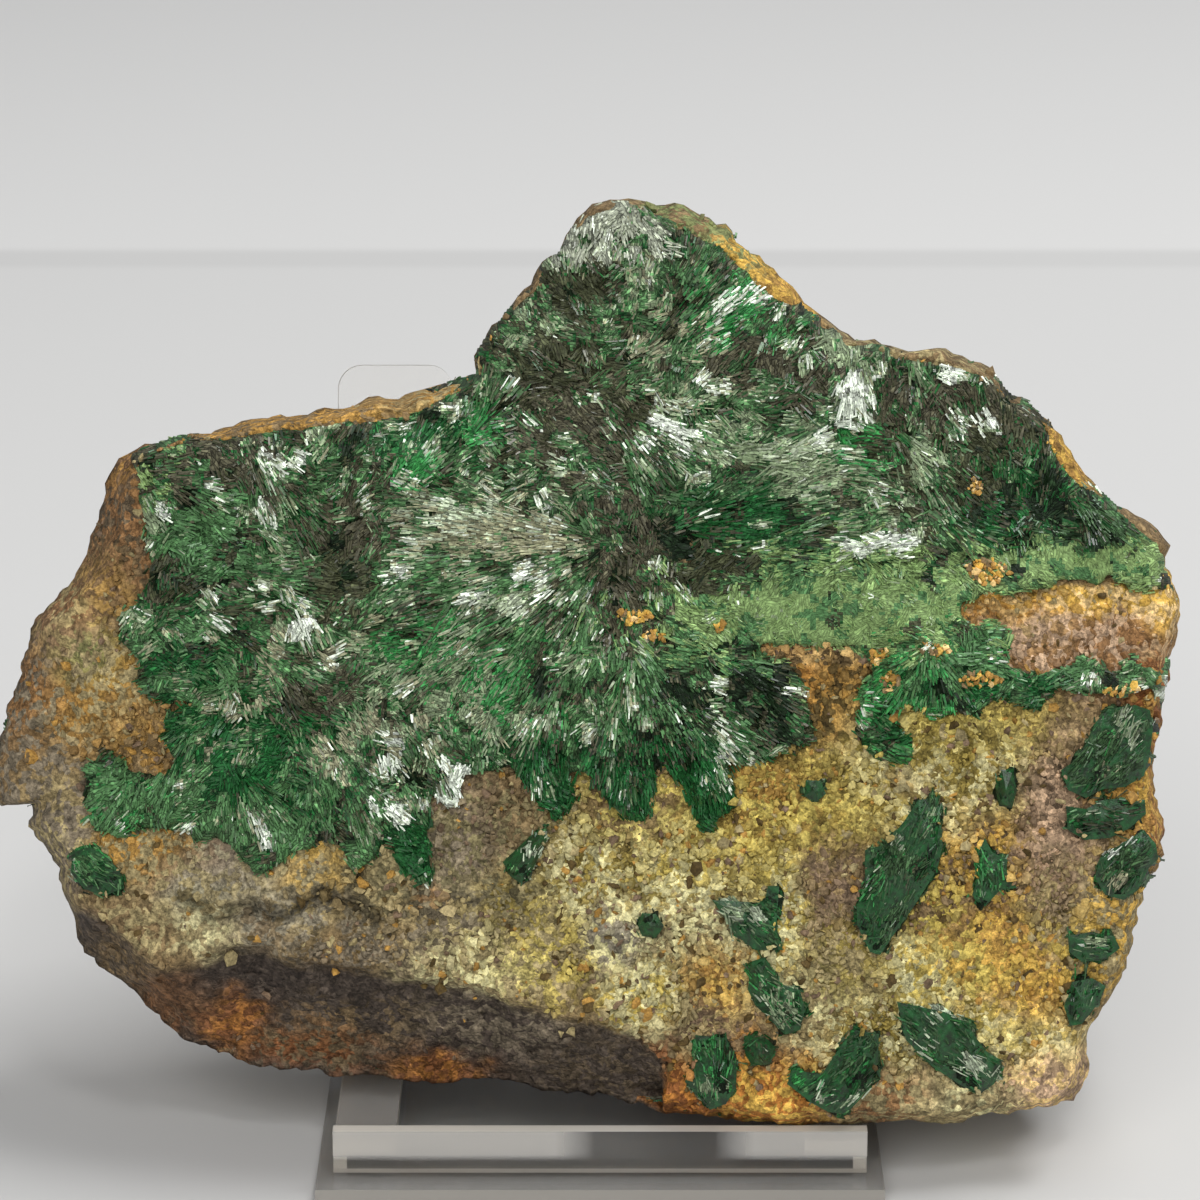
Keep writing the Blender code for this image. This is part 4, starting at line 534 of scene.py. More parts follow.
def zone_mix(u, v, zones):
    """Gaussian weight of every zone at every place."""
    table = np.array([row[:4] for row in zones], float)
    return np.exp(-0.5 * (((u[:, None] - table[:, 0]) / table[:, 2]) ** 2
                          + ((v[:, None] - table[:, 1]) / table[:, 3]) ** 2))


class FaceMap:
    """Depth of the front of the solids, and which solid is there, on a fine grid of the face."""

    STEP = 0.3
    LOW = np.array((-62.1, -54.0))
    SIZE = (415, 318)

    def __init__(self, names):
        corners, triangles, owners = [], [], []
        for number, name in enumerate(names):
            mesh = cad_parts[name].data
            first = len(corners)
            corners += [v.co.copy() for v in mesh.vertices]
            triangles += [[first + i for i in p.vertices] for p in mesh.polygons]
            owners += [number] * len(mesh.polygons)
        tree = BVHTree.FromPolygons(corners, triangles)
        centre = FACE_CENTRE * MILLIMETRE
        eye = centre + OUT * EYE_DISTANCE * MILLIMETRE
        columns, rows = self.SIZE
        self.u, self.v = np.meshgrid(self.LOW[0] + np.arange(columns) * self.STEP,
                                     self.LOW[1] + np.arange(rows) * self.STEP)
        u, v = flat(self.u), flat(self.v)
        aims = centre + face_direction(u, v, np.zeros(len(u))) * MILLIMETRE - eye
        start = Vector(eye)
        hits = [tree.ray_cast(start, Vector(aim)) for aim in aims]
        struck = np.array([hit[0] is not None for hit in hits])
        points = np.array([tuple(hit[0]) if hit[0] else tuple(centre) for hit in hits])
        depth = (points - centre) @ OUT / MILLIMETRE
        owner = np.array([owners[hit[2]] if hit[0] else -1 for hit in hits])
        self.owner = owner.reshape(rows, columns)
        self.depth = np.where(struck, depth, depth[struck].min()).reshape(rows, columns)
        self.rim = self.distance(self.owner < 0)

    def shifted(self, grid, rows, columns):
        """The grid moved by whole cells; what leaves at one border comes back at the other."""
        return np.roll(np.roll(grid, rows, 0), columns, 1)

    def distance(self, mask, limit=2.7):
        """Distance in millimetres from each cell to the nearest cell of a mask, up to limit."""
        far = np.where(mask, 0.0, limit)
        for _ in range(int(limit / self.STEP)):
            for rows, columns in ((0, 1), (0, -1), (1, 0), (-1, 0), (1, 1), (1, -1), (-1, 1), (-1, -1)):
                far = np.minimum(far, self.shifted(far, rows, columns)
                                 + self.STEP * math.hypot(rows, columns))
        return far

    def soft(self, grid, times, mask=None):
        """The grid blurred a few times, taking only cells of the stone or of a mask."""
        inside = (self.owner >= 0 if mask is None else mask).astype(float)
        for _ in range(times):
            total = grid * inside * 2.0
            weight = inside * 2.0
            for rows, columns in ((0, 1), (0, -1), (1, 0), (-1, 0)):
                total = total + self.shifted(grid * inside, rows, columns)
                weight = weight + self.shifted(inside, rows, columns)
            grid = np.where(inside > 0, total / np.maximum(weight, 1.0), grid)
        return grid

    def at(self, u, v, grid):
        """Value of one of the map's grids at the cell nearest to each place."""
        column = np.clip(np.rint((u - self.LOW[0]) / self.STEP).astype(int), 0, self.SIZE[0] - 1)
        row = np.clip(np.rint((v - self.LOW[1]) / self.STEP).astype(int), 0, self.SIZE[1] - 1)
        return grid[row, column]

    def spread_points(self, mask, spacing, seed):
        """Jittered points, about spacing apart, over the cells of a mask."""
        chance = np.random.default_rng(seed)
        columns = np.arange(self.LOW[0], -self.LOW[0], spacing)
        rows = np.arange(self.LOW[1], 41.0, spacing * 0.866)
        u, v = np.meshgrid(columns, rows)
        u = u + (np.arange(len(rows)) % 2)[:, None] * spacing / 2.0
        u = flat(u + chance.uniform(-0.4, 0.4, u.shape) * spacing)
        v = flat(v + chance.uniform(-0.4, 0.4, v.shape) * spacing)
        keep = self.at(u, v, mask)
        return u[keep], v[keep]


class Finish:
    """A node material, built with a few words per node."""

    def __init__(self, name):
        self.material = bpy.data.materials.new(name)
        self.material.use_nodes = True
        self.tree = self.material.node_tree
        self.shader = self.tree.nodes["Principled BSDF"]

    def node(self, kind, inputs=None, **settings):
        """New node with its settings, and its inputs set or linked."""
        made = self.tree.nodes.new("ShaderNode" + kind)
        for key, value in settings.items():
            setattr(made, key, value)
        for key, value in (inputs or {}).items():
            if isinstance(value, bpy.types.NodeSocket):
                self.tree.links.new(value, made.inputs[key])
            else:
                made.inputs[key].default_value = value
        return made

    def set(self, **values):
        """Set or link inputs of the shader, with underscores for spaces."""
        for key, value in values.items():
            socket = self.shader.inputs[key.replace("_", " ")]
            if isinstance(value, bpy.types.NodeSocket):
                self.tree.links.new(value, socket)
            else:
                socket.default_value = value
        return self

    def place(self):
        """Object coordinates."""
        return self.node("TexCoord").outputs["Object"]

    def noise(self, size, detail=3.0, roughness=0.55, output="Fac"):
        """Noise with features about size millimetres wide."""
        return self.node("TexNoise", {"Vector": self.place(), "Scale": 1.0 / (size * MILLIMETRE),
                                      "Detail": detail, "Roughness": roughness}).outputs[output]

    def math(self, kind, first, second):
        """Result of a Math node for two values."""
        return self.node("Math", {0: first, 1: second}, operation=kind).outputs[0]

    def jitter(self, size, amount):
        """Random shift of a place by up to about amount millimetres."""
        centred = self.node("VectorMath", {0: self.noise(size, 2.0, 0.5, "Color"),
                                           1: (0.5, 0.5, 0.5)}, operation="SUBTRACT").outputs[0]
        return self.node("VectorMath", {0: centred, "Scale": 2.0 * amount * MILLIMETRE},
                         operation="SCALE").outputs[0]

    def ramp(self, factor, *stops):
        """Colour ramp over a factor; each stop is a position and a colour or grey value."""
        made = self.node("ValToRGB", {"Fac": factor})
        elements = made.color_ramp.elements
        while len(elements) < len(stops):
            elements.new(0.5)
        for element, (position, colour) in zip(elements, stops):
            element.position = position
            grey = isinstance(colour, float)
            element.color = (colour, colour, colour, 1.0) if grey else (*colour, 1.0)
        return made.outputs["Color"]

    def mix(self, kind, factor, first, second):
        """Colour mix of two inputs."""
        return self.node("Mix", {0: factor, 6: first, 7: second}, data_type="RGBA",
                         blend_type=kind).outputs[2]

    def bump(self, height, strength, distance):
        """Normal bent by a height."""
        return self.node("Bump", {"Height": height, "Strength": strength,
                                  "Distance": distance * MILLIMETRE}).outputs["Normal"]


def rgba(tone, factor=1.0):
    """Linear colour of a named tone with alpha, scaled."""
    return (*(linear(TONES[tone]) * factor), 1.0)


def rock_finish():
    """Iron-stained rock: wavy-edged crumbs in two mineral colours, thin dark wrinkles between
    them and fine grit. The alpha of the stain says how crumbly the place is."""
    made = Finish("iron_stained_rock")
    stain = made.node("Attribute", attribute_name="stain")
    fleck = made.node("Attribute", attribute_name="fleck").outputs["Color"]
    crumbly = stain.outputs["Alpha"]
    where = made.node("VectorMath", {0: made.place(), 1: made.jitter(0.9, 0.6)}, operation="ADD")
    crumbs = made.node("TexVoronoi", {"Vector": where.outputs[0], "Scale": 1.0 / (0.8 * MILLIMETRE)})
    grains = made.node("SeparateColor", {"Color": crumbs.outputs["Color"]})
    grit = made.noise(0.45, 3.0, 0.65)
    patch = made.noise(2.3, 3.0, 0.62)
    wrinkle = made.ramp(made.noise(1.5, 4.0, 0.6), (0.43, 1.0), (0.5, 0.4), (0.57, 1.0))
    pick = made.math("MULTIPLY", made.math("ADD", grains.outputs[0], patch), 0.5)
    colour = made.mix("MIX", made.ramp(pick, (0.46, 0.0), (0.54, 1.0)), stain.outputs["Color"],
                      fleck)
    shade = made.ramp(grains.outputs[1], (0.0, 0.62), (1.0, 1.35))
    colour = made.mix("MULTIPLY", crumbly, colour, shade)
    colour = made.mix("MULTIPLY", 0.75, colour, wrinkle)
    colour = made.mix("MULTIPLY", 0.9, colour, made.ramp(grit, (0.32, 0.5), (0.5, 1.05), (0.68, 1.6)))
    colour = made.mix("MULTIPLY", 0.8, colour, made.ramp(patch, (0.32, 0.6), (0.68, 1.4)))
    height = made.math("SUBTRACT", made.math("MULTIPLY", grit, 0.8),
                       made.math("MULTIPLY", crumbs.outputs["Distance"], crumbly))
    height = made.math("ADD", height, made.math("MULTIPLY", wrinkle, 0.35))
    made.set(Base_Color=colour, Roughness=0.85, Specular_IOR_Level=0.3)
    made.set(Normal=made.bump(height, 0.9, 0.5))
    return made.material


def grain_finish():
    """Single grains: their own colour, with a slight waxy gloss."""
    made = Finish("mineral_grains")
    tone = made.node("Attribute", attribute_name="tone").outputs["Color"]
    fine = made.noise(0.3, 3.0, 0.6)
    made.set(Base_Color=made.mix("MULTIPLY", 0.9, tone, made.ramp(fine, (0.3, 0.5), (0.7, 1.4))),
             Roughness=0.7, Specular_IOR_Level=0.3)
    made.set(Normal=made.bump(fine, 0.8, 0.15))
    return made.material


def needle_finish():
    """Glassy crystal needles: their own colour, with darker and lighter lengths."""
    made = Finish("atacamite_needles")
    tone = made.node("Attribute", attribute_name="tone").outputs["Color"]
    length = made.ramp(made.noise(0.4, 2.0, 0.6), (0.32, 0.5), (0.68, 1.45))
    made.set(Base_Color=made.mix("MULTIPLY", 0.85, tone, length), Roughness=0.3,
             Specular_IOR_Level=0.5)
    return made.material


def fibre_finish():
    """Crystal skin: each bundle is parted into blades, cells drawn out along the fibre
    coordinates, each with its own lightness and a dark joint around it; the lightest few blades
    are brightened far past their tone as painted glints. The alpha of the tone darkens the gaps
    between bundles."""
    made = Finish("atacamite_fibres")
    tone = made.node("Attribute", attribute_name="tone")
    fibre = made.node("Attribute", attribute_name="fibre").outputs["Vector"]
    drawn = made.node("Mapping", {"Vector": fibre, "Scale": (1.1, 3.6, 1.0)}).outputs["Vector"]
    shape = dict(voronoi_dimensions="2D")
    blades = made.node("TexVoronoi", {"Vector": drawn, "Scale": 1.0}, **shape)
    joints = made.node("TexVoronoi", {"Vector": drawn, "Scale": 1.0},
                       feature="DISTANCE_TO_EDGE", **shape).outputs["Distance"]
    lone = made.node("SeparateColor", {"Color": blades.outputs["Color"]}).outputs[0]
    mottle = made.noise(0.45, 3.0, 0.65)
    felt = made.node("SeparateXYZ", {"Vector": fibre}).outputs["Z"]
    clear = made.math("SUBTRACT", 1.0, made.math("MULTIPLY", felt, 0.75))
    # Each blade's own lightness; the top of the ramp, up to 2.6 times, paints glints on the lightest few
    colour = made.mix("MULTIPLY", clear, tone.outputs["Color"],
                      made.ramp(lone, (0.0, 0.5), (0.7, 1.15), (0.92, 1.7), (1.0, 2.6)))
    colour = made.mix("MULTIPLY", clear, colour, made.ramp(joints, (0.0, 0.25), (0.14, 1.0)))
    colour = made.mix("MULTIPLY", 0.9, colour, made.ramp(mottle, (0.32, 0.55), (0.68, 1.5)))
    colour = made.mix("MULTIPLY", 1.0, colour, tone.outputs["Alpha"])
    made.set(Base_Color=colour, Roughness=0.6, Specular_IOR_Level=0.2)
    height = made.math("ADD", made.math("MINIMUM", joints, 0.2), made.math("MULTIPLY", lone, 0.3))
    made.set(Normal=made.bump(height, 1.0, 0.3))
    return made.material


def crust_finish(name, dark, light):
    """Massive crystal under the fibrous skin: two greens in fine patches."""
    made = Finish(name)
    patch = made.noise(0.8, 3.0, 0.7)
    made.set(Base_Color=made.ramp(patch, (0.35, dark[:3]), (0.68, light[:3])), Roughness=0.45)
    made.set(Normal=made.bump(patch, 0.8, 0.3))
    return made.material


def acrylic_finish(name, tint, broad, haze, edge):
    """Polished acrylic sheet with cloudy, pale sawn edges. Broad is the direction that its wide
    faces look along, haze says how cloudy these are, and edge how pale the sawn edges are. On the
    front rail the haze is a painted highlight, laid at its upper ends alone."""
    made = Finish(name)
    normal = made.node("TexCoord").outputs["Normal"]
    facing = made.node("VectorMath", {0: normal, 1: tuple(broad)}, operation="DOT_PRODUCT")
    facing = made.math("MULTIPLY", facing.outputs["Value"], facing.outputs["Value"])
    if name == "acrylic_front":
        # Painted highlight: the front rail is pale and cloudy only at its upper ends, standing in for
        # reflections there
        where = made.node("SeparateXYZ", {"Vector": made.place()}).outputs
        ends = made.math("ABSOLUTE", made.math("SUBTRACT", where["X"], 5.5 * MILLIMETRE), 0.0)
        ends = made.ramp(made.math("MULTIPLY", ends, 50.0), (0.3, 0.0), (0.5, 1.0))
        high = made.ramp(made.math("MULTIPLY", where["Z"], 100.0), (0.34, 0.0), (0.4, 1.0))
        haze = made.math("MULTIPLY", made.math("MULTIPLY", ends, high), haze)
    clear = made.math("SUBTRACT", made.ramp(facing, (0.4, 0.0), (0.6, 1.0)), haze)
    made.set(Base_Color=made.ramp(clear, (0.0, (edge, 0.94 * edge, 0.84 * edge)),
                                  (1.0, tuple(tint))),
             Roughness=made.ramp(clear, (0.0, 0.5), (1.0, 0.03)),
             Transmission_Weight=made.ramp(clear, (0.0, 0.15), (1.0, 1.0)), IOR=1.49, Alpha=0.85)
    return made.material


def stage_finish():
    """Pale matt table with painted shade: a little greyer near the viewer, and paler beyond a softly darker
    painted shade line.
    """
    made = Finish("pale_stage")
    behind = made.node("SeparateXYZ", {"Vector": made.place()}).outputs["Y"]
    share = made.math("MULTIPLY", made.math("ADD", behind, -FLOOR_START), 1.0 / FLOOR_LENGTH)
    tones = [((y - FLOOR_START) / FLOOR_LENGTH, tuple(level * part for part in FLOOR_WARMTH))
             for y, level in FLOOR_TONES]
    made.set(Base_Color=made.ramp(share, *tones), Roughness=0.8, Specular_IOR_Level=0.2)
    return made.material


def ring_faces(rings, columns):
    """Quads between successive rings of a closed grid."""
    ring, column = np.meshgrid(np.arange(rings - 1), np.arange(columns), indexing="ij")
    after = (column + 1) % columns
    return np.stack((ring * columns + column, ring * columns + after,
                     (ring + 1) * columns + after, (ring + 1) * columns + column), -1).reshape(-1, 4)


def ragged_rim(columns):
    """The silhouette with small jags, drawn in a little so that these stay in the solid, and its
    plain distance from the middle."""
    rim = resampled(silhouette_rows(), columns, UPPER_POINT_SHARE)
    jag = JAGS[0] * face_lumps(rim[:, 0], rim[:, 1], 1.9, 61)
    jag += JAGS[1] * face_lumps(rim[:, 0], rim[:, 1], 0.8, 62)
    outward = rim[:, :2] - SILHOUETTE_CENTRE
    radius = np.hypot(*outward.T)
    rim[:, :2] += outward / radius[:, None] * (jag - RIM_INSET)[:, None]
    return rim, radius


def face_rings(rim, radius, count):
    """Rings of u, v, w from the middle of the face to the rim, where they round over."""
    share = np.linspace(0.0, 1.0, count + 1)[1:]
    seen = SILHOUETTE_CENTRE + share[:, None, None] * (rim[:, :2] - SILHOUETTE_CENTRE)
    u, v = flat(seen[..., 0]), flat(seen[..., 1])
    depth = rock_depth(u, v).reshape(count, len(rim))
    edge = np.clip(1.0 - (1.0 - share[:, None]) * radius / rim[:, 3], 0.0, 1.0) ** 1.6
    depth += (rim[:, 2] - depth) * edge
    return u, v, flat(depth)


def side_rings(rim, count):
    """Rings of u, v, w from the rim along the rough sides, drawn in by the side profile, to the
    edge of the back, whose depth the last ones take on."""
    side = np.linspace(0.0, 1.0, count + 1)[1:]
    w = rim[:, 2] + (BACK_DEPTH - rim[:, 2]) * side[:, None]
    places = np.stack((np.broadcast_to(rim[:, 0], w.shape), np.broadcast_to(rim[:, 1], w.shape), w), -1)
    rough = 0.5 + 0.5 * lumps(places.reshape(-1, 3), 8.0, 17).reshape(w.shape)
    scale = np.interp(side, *zip(*SIDE_PROFILE))[:, None]
    scale = scale - SIDE_ROUGHNESS * rough * np.minimum(1.0, side / 0.2)[:, None]
    seen = SILHOUETTE_CENTRE + scale[..., None] * (rim[:, :2] - SILHOUETTE_CENTRE)
    back_w = back_depth(flat(seen[-1, :, 0]), flat(seen[-1, :, 1]))
    w = w + (back_w - BACK_DEPTH) * (np.clip((side - 0.8) / 0.2, 0.0, 1.0) ** 2)[:, None]
    return flat(seen[..., 0]), flat(seen[..., 1]), flat(w)


def back_rings(edge_u, edge_v, count):
    """Rings of u, v, w from the edge of the back towards its middle."""
    share = np.linspace(1.0, 0.0, count + 1)[1:-1]
    edge = np.stack((edge_u, edge_v), 1)
    seen = SILHOUETTE_CENTRE + share[:, None, None] * (edge - SILHOUETTE_CENTRE)
    u, v = flat(seen[..., 0]), flat(seen[..., 1])
    return u, v, back_depth(u, v)


def grid_normals(corners, columns):
    """Unit normals of a closed grid of rings, outward: across the rings times along them."""
    grid = corners.reshape(-1, columns, 3)
    normal = np.cross(np.gradient(grid, axis=0), np.roll(grid, -1, 1) - np.roll(grid, 1, 1))
    normal /= np.maximum(np.linalg.norm(normal, axis=-1, keepdims=True), 1e-12)
    normal *= math.copysign(1.0, normal[0, 0] @ OUT)
    return normal.reshape(-1, 3)


def rock_surface(settings):
    """Closed skin of the rock. Its rings grow from the middle of the face to the silhouette,
    run back along the sides and close in on the back; the radius at each angle is the
    silhouette's. Hills and pebbles are added along the surface normal."""
    columns = settings.columns
    rim, radius = ragged_rim(columns)
    front = face_rings(rim, radius, settings.front_rings)
    side = side_rings(rim, settings.side_rings)
    back = back_rings(side[0][-columns:], side[1][-columns:], settings.back_rings)
    u, v, w = (np.concatenate(parts) for parts in zip(front, side, back))
    hidden = (np.arange(len(u)) >= len(front[0])).astype(float)
    corners = place(u, v, w)
    height = skin_height(corners / MILLIMETRE, hidden, settings)
    height -= 0.9 * crack_depth(u, v, ROCK_CRACKS, 0.4) * (1.0 - hidden)
    corners = corners + grid_normals(corners, columns) * (height * MILLIMETRE)[:, None]
    corners[:, 2] = np.maximum(corners[:, 2], SHELF_HEIGHT * MILLIMETRE)
    pole_u, pole_v = (np.full(2, value) for value in SILHOUETTE_CENTRE)
    pole_w = np.append(rock_depth(pole_u[:1], pole_v[:1]), back_depth(pole_u[:1], pole_v[:1]))
    corners = np.vstack((corners, place(pole_u, pole_v, pole_w)))
    stain, fleck = rock_stain(np.append(u, pole_u), np.append(v, pole_v), np.append(w, pole_w),
                              np.append(hidden, (0.0, 1.0)))
    column = np.arange(columns)
    after = (column + 1) % columns
    last = len(u) - columns
    polygons = [ring_faces(len(u) // columns, columns),
                np.stack((np.full(columns, len(u)), after, column), 1),
                np.stack((np.full(columns, len(u) + 1), last + column, last + after), 1)]
    points = corners[polygons[0][0]]
    if np.cross(points[1] - points[0], points[2] - points[1]) @ OUT < 0:
        polygons = [faces[:, ::-1] for faces in polygons]
    return new_mesh("rock_surface", corners, polygons, smooth=True,
                    point={"stain": stain, "fleck": fleck})


def back_depth(u, v):
    """Depth of the broken back."""
    return BACK_DEPTH + BACK_ROUGHNESS * face_lumps(u, v, 12.0, 29)


def skin_height(where, hidden, settings):
    """Height of the rock's skin over its plain form: fractal hills and pebbles, and broader
    broken lumps on the sides and back. It fades where the stone rests on the shelf."""
    height = settings.lump_height * fractal(where, 2.6, 71, 3)
    height += settings.pebble_height * (pebbles(where, 1.3, 81) - 0.45)
    height += hidden * (0.6 * (fractal(where, 5.5, 91, 2) - 0.3) - 0.25)
    resting = np.clip((where[:, 2] - SHELF_HEIGHT) / 1.5, 0.0, 1.0)
    return np.where(height < 0.0, height, height * resting)


def stain_mix(u, v, stains, floor, fallback):
    """Stain and fleck colours with crumbliness in the alpha, mixed by the zones' weights."""
    weight = zone_mix(u, v, stains) ** 1.4
    total = weight.sum(1, keepdims=True) + floor
    mixed = []
    for column in (4, 5):
        tones = linear([TONES[row[column]] for row in stains])
        mixed.append((weight @ tones + floor * linear(TONES[fallback])) / total)
    crumbly = (weight @ np.array([row[6] for row in stains]) + floor * 0.6) / total[:, 0]
    return mixed[0], mixed[1], crumbly[:, None]


def rock_stain(u, v, w, hidden):
    """Colours of the rock: the zones mixed by warped Gaussian weights, the underside darker and
    the sides and back in browns."""
    places = np.stack((u, v, w), 1)
    warp_u = u + 1.2 * lumps(places, 2.6, 101) + 0.7 * lumps(places, 0.9, 102)
    warp_v = v + 1.2 * lumps(places, 2.6, 103) + 0.7 * lumps(places, 0.9, 104)
    front = stain_mix(warp_u, warp_v, ROCK_STAINS, 0.02, "brown")
    under = stain_mix(warp_u, warp_v, UNDERSIDE_STAINS, 0.25, "slate")
    below = np.clip(undercut_share(u, v) * 8.0, 0.0, 1.0)[:, None] * (1.0 - hidden[:, None])
    blend = (0.5 + 0.5 * lumps(places, 7.0, 105))[:, None]
    sides = linear(TONES["brown"]) * blend + linear(TONES["umber"]) * (1.0 - blend)
    rusty = np.clip(2.0 * lumps(places, 5.0, 106) - 0.2, 0.0, 1.0)[:, None]
    flecks = linear(TONES["tan"]) * (1.0 - rusty) + linear(TONES["ochre"]) * rusty
    turn = np.clip((-13.0 - w) / 4.0, 0.0, 1.0)[:, None] * hidden[:, None]
    layers = []
    for index, side in enumerate((sides, flecks, 0.55)):
        seen = front[index] * (1.0 - below) + under[index] * below
        layers.append(seen * (1.0 - turn) + side * turn)
    shadow = 1.0 - 0.7 * crack_depth(warp_u, warp_v, ROCK_CRACKS, 0.45) * (1.0 - hidden)
    layers[0], layers[1] = layers[0] * shadow[:, None], layers[1] * shadow[:, None]
    return np.hstack((layers[0], layers[2])), layers[1]


def blob():
    """Corners and faces of a 20-sided ball."""
    gold = (1.0 + 5.0 ** 0.5) / 2.0
    corners = np.array([(s, t * gold, 0.0) for s in (-1, 1) for t in (-1, 1)])
    corners = np.vstack((corners, corners[:, (2, 0, 1)], corners[:, (1, 2, 0)])) / math.hypot(1.0, gold)
    gap = np.linalg.norm(corners[:, None] - corners[None], axis=-1)
    near = (gap > 0.1) & (gap < 1.1)
    faces = [(a, b, c) for a in range(12) for b in range(a + 1, 12) for c in range(b + 1, 12)
             if near[a, b] and near[b, c] and near[a, c]]
    faces = [f if np.dot(np.cross(corners[f[1]] - corners[f[0]], corners[f[2]] - corners[f[0]]),
                         corners[f[0]]) > 0 else f[::-1] for f in faces]
    return corners, np.array(faces)


def grains(name, u, v, w, size, colours, seed):
    """Many small lumps, each a 20-sided ball with its corners pushed in or out at random,
    stretched and turned, half sunk at its place."""
    chance = np.random.default_rng(seed)
    shape, faces = blob()
    count = len(u)
    turn = np.linalg.qr(chance.normal(size=(count, 3, 3)))[0]
    turn *= np.sign(np.linalg.det(turn))[:, None, None]
    radii = 1.0 + chance.uniform(-0.46, 0.46, (count, 12, 1))
    stretch = chance.uniform(0.42, 1.5, (count, 1, 3))
    points = (shape[None] * radii * stretch) @ turn
    points *= (size / 2.0 * MILLIMETRE)[:, None, None]
    corners = (points + place(u, v, w)[:, None]).reshape(-1, 3)
    corners[:, 2] = np.maximum(corners[:, 2], SHELF_HEIGHT * MILLIMETRE)
    polygons = (faces[None] + (np.arange(count) * 12)[:, None, None]).reshape(-1, 3)
    return new_mesh(name, corners, [polygons], point={"tone": np.repeat(colours, 12, axis=0)})


def needles(name, root, tip, width, roll, colours):
    """Many blunt three-sided bars from root to tip, in world metres, widest at the root and
    little more than half as wide at the tip."""
    along = tip - root
    along /= np.linalg.norm(along, axis=1, keepdims=True)
    across = np.cross(along, OUT)
    across /= np.maximum(np.linalg.norm(across, axis=1, keepdims=True), 1e-9)
    raised = np.cross(across, along)
    angle = roll[:, None] + np.arange(3) * math.tau / 3.0
    offsets = (np.cos(angle)[..., None] * across[:, None]
               + 0.8 * np.sin(angle)[..., None] * raised[:, None]) * width[:, None, None] / 2.0
    corners = np.concatenate((root[:, None] + offsets, tip[:, None] + offsets * 0.55), 1)
    start = (np.arange(len(root)) * 6)[:, None, None]
    ends = np.array([(0, 1, 2), (5, 4, 3)])
    sides = np.array([(k, k + 3, (k + 1) % 3 + 3, (k + 1) % 3) for k in range(3)])
    return new_mesh(name, corners.reshape(-1, 3), [(sides[None] + start).reshape(-1, 4),
                                                   (ends[None] + start).reshape(-1, 3)],
                    point={"tone": np.repeat(colours, 6, axis=0)})


def streak_heading(u, v):
    """Heading of the fine needles: Gaussian mean of the streaks, taken on doubled angles."""
    table = np.array(STREAKS, float)
    squared = (u[:, None] - table[:, 0]) ** 2 + (v[:, None] - table[:, 1]) ** 2
    weight = np.exp(-squared / 14.0) + 1e-9
    doubled = np.radians(table[:, 2]) * 2.0
    return 0.5 * np.arctan2(weight @ np.sin(doubled), weight @ np.cos(doubled))


def crystal_tone(u, v, level, base, zones=()):
    """Colour at each place. The tones are laid in a row from dark to light, each as wide as its
    share there, and level, from 0 to 1, picks a place along the row."""
    share = np.zeros((len(u), len(TONE_ORDER)))
    for name, amount in base:
        share[:, TONE_ORDER.index(name)] += amount
    if zones:
        weight = zone_mix(u, v, zones)
        for index, row in enumerate(zones):
            share[:, TONE_ORDER.index(row[4])] += weight[:, index] * row[5]
    edges = np.cumsum(share, axis=1) / share.sum(1, keepdims=True)
    pick = (edges < np.clip(level, 0.0, 0.9999)[:, None]).sum(1)
    return linear([TONES[name] for name in TONE_ORDER])[pick]


def in_a_spray(u, v):
    """Whether a place lies in one of the large sprays."""
    found = np.zeros(len(u), bool)
    for root_u, root_v, heading, opening, reach in SPRAYS:
        away = np.hypot(u - root_u, v - root_v)
        turn = np.degrees(np.arctan2(v - root_v, u - root_u)) - heading
        turn = (turn + 180.0) % 360.0 - 180.0
        found |= (away < reach) & (away > 0.8) & (np.abs(turn) < opening / 2.0)
    return found


class Bundles:
    """Bundles of parallel crystals: place, heading, half length and half width, rise along the
    heading, height, roll of the crystals, darkness level and how felted they are."""

    FIELDS = ("u", "v", "heading", "half_length", "half_width", "rise", "height", "roll", "level", "felt")

    def __init__(self, u, v, heading, half_length, half_width, rise, chance):
        count = len(u)
        felt = np.clip(zone_mix(u, v, FELT).max(1) * 1.7 - 0.3, 0.0, 1.0)
        self.u, self.v, self.felt = u, v, felt
        self.heading = heading + felt * chance.uniform(-1.0, 1.0, count)
        size = chance.uniform(0.7, 1.35, count) * (1.0 - 0.55 * felt)
        self.half_length = half_length * size
        self.half_width = half_width * chance.uniform(0.7, 1.4, count) * (1.0 - 0.3 * felt)
        self.rise = (rise + chance.normal(0.0, 0.16, count)) * (1.0 - 0.8 * felt)
        self.height = chance.normal(0.0, 0.15, count) * (1.0 - 0.8 * felt)
        self.roll = chance.uniform(0.0, math.tau, count)
        places = np.stack((u, v, np.zeros(count)), 1)
        self.level = 0.5 + 0.26 * fractal(places, 3.0, 141, 2) + chance.uniform(-0.27, 0.27, count)
        # Raised bundles take lighter tones and sunken ones darker: painted light and shade by height
        self.level += 0.5 * self.height

    def joined(self, other):
        """These bundles with others added."""
        for field in self.FIELDS:
            setattr(self, field, np.concatenate((getattr(self, field), getattr(other, field))))
        return self

    def offsets(self, index, u, v):
        """Distances along and across bundle index of places u, v."""
        cosine, sine = np.cos(self.heading[index]), np.sin(self.heading[index])
        away_u, away_v = u - self.u[index], v - self.v[index]
        return away_u * cosine + away_v * sine, away_v * cosine - away_u * sine

    def nearest(self, u, v):
        """Index of the bundle that each place belongs to, by the smallest stretched distance, and
        how much smaller that distance is than the next one."""
        best, gap = np.empty(len(u), int), np.empty(len(u))
        every = np.arange(len(self.u))
        for start in range(0, len(u), 1500):
            part = slice(start, start + 1500)
            along, across = self.offsets(every[None], u[part, None], v[part, None])
            far = (along / self.half_length) ** 2 + (across / self.half_width) ** 2
            rows = np.arange(len(far))
            best[part] = far.argmin(1)
            first = far[rows, best[part]]
            far[rows, best[part]] = np.inf
            gap[part] = np.sqrt(far.min(1)) - np.sqrt(first)
        return best, gap


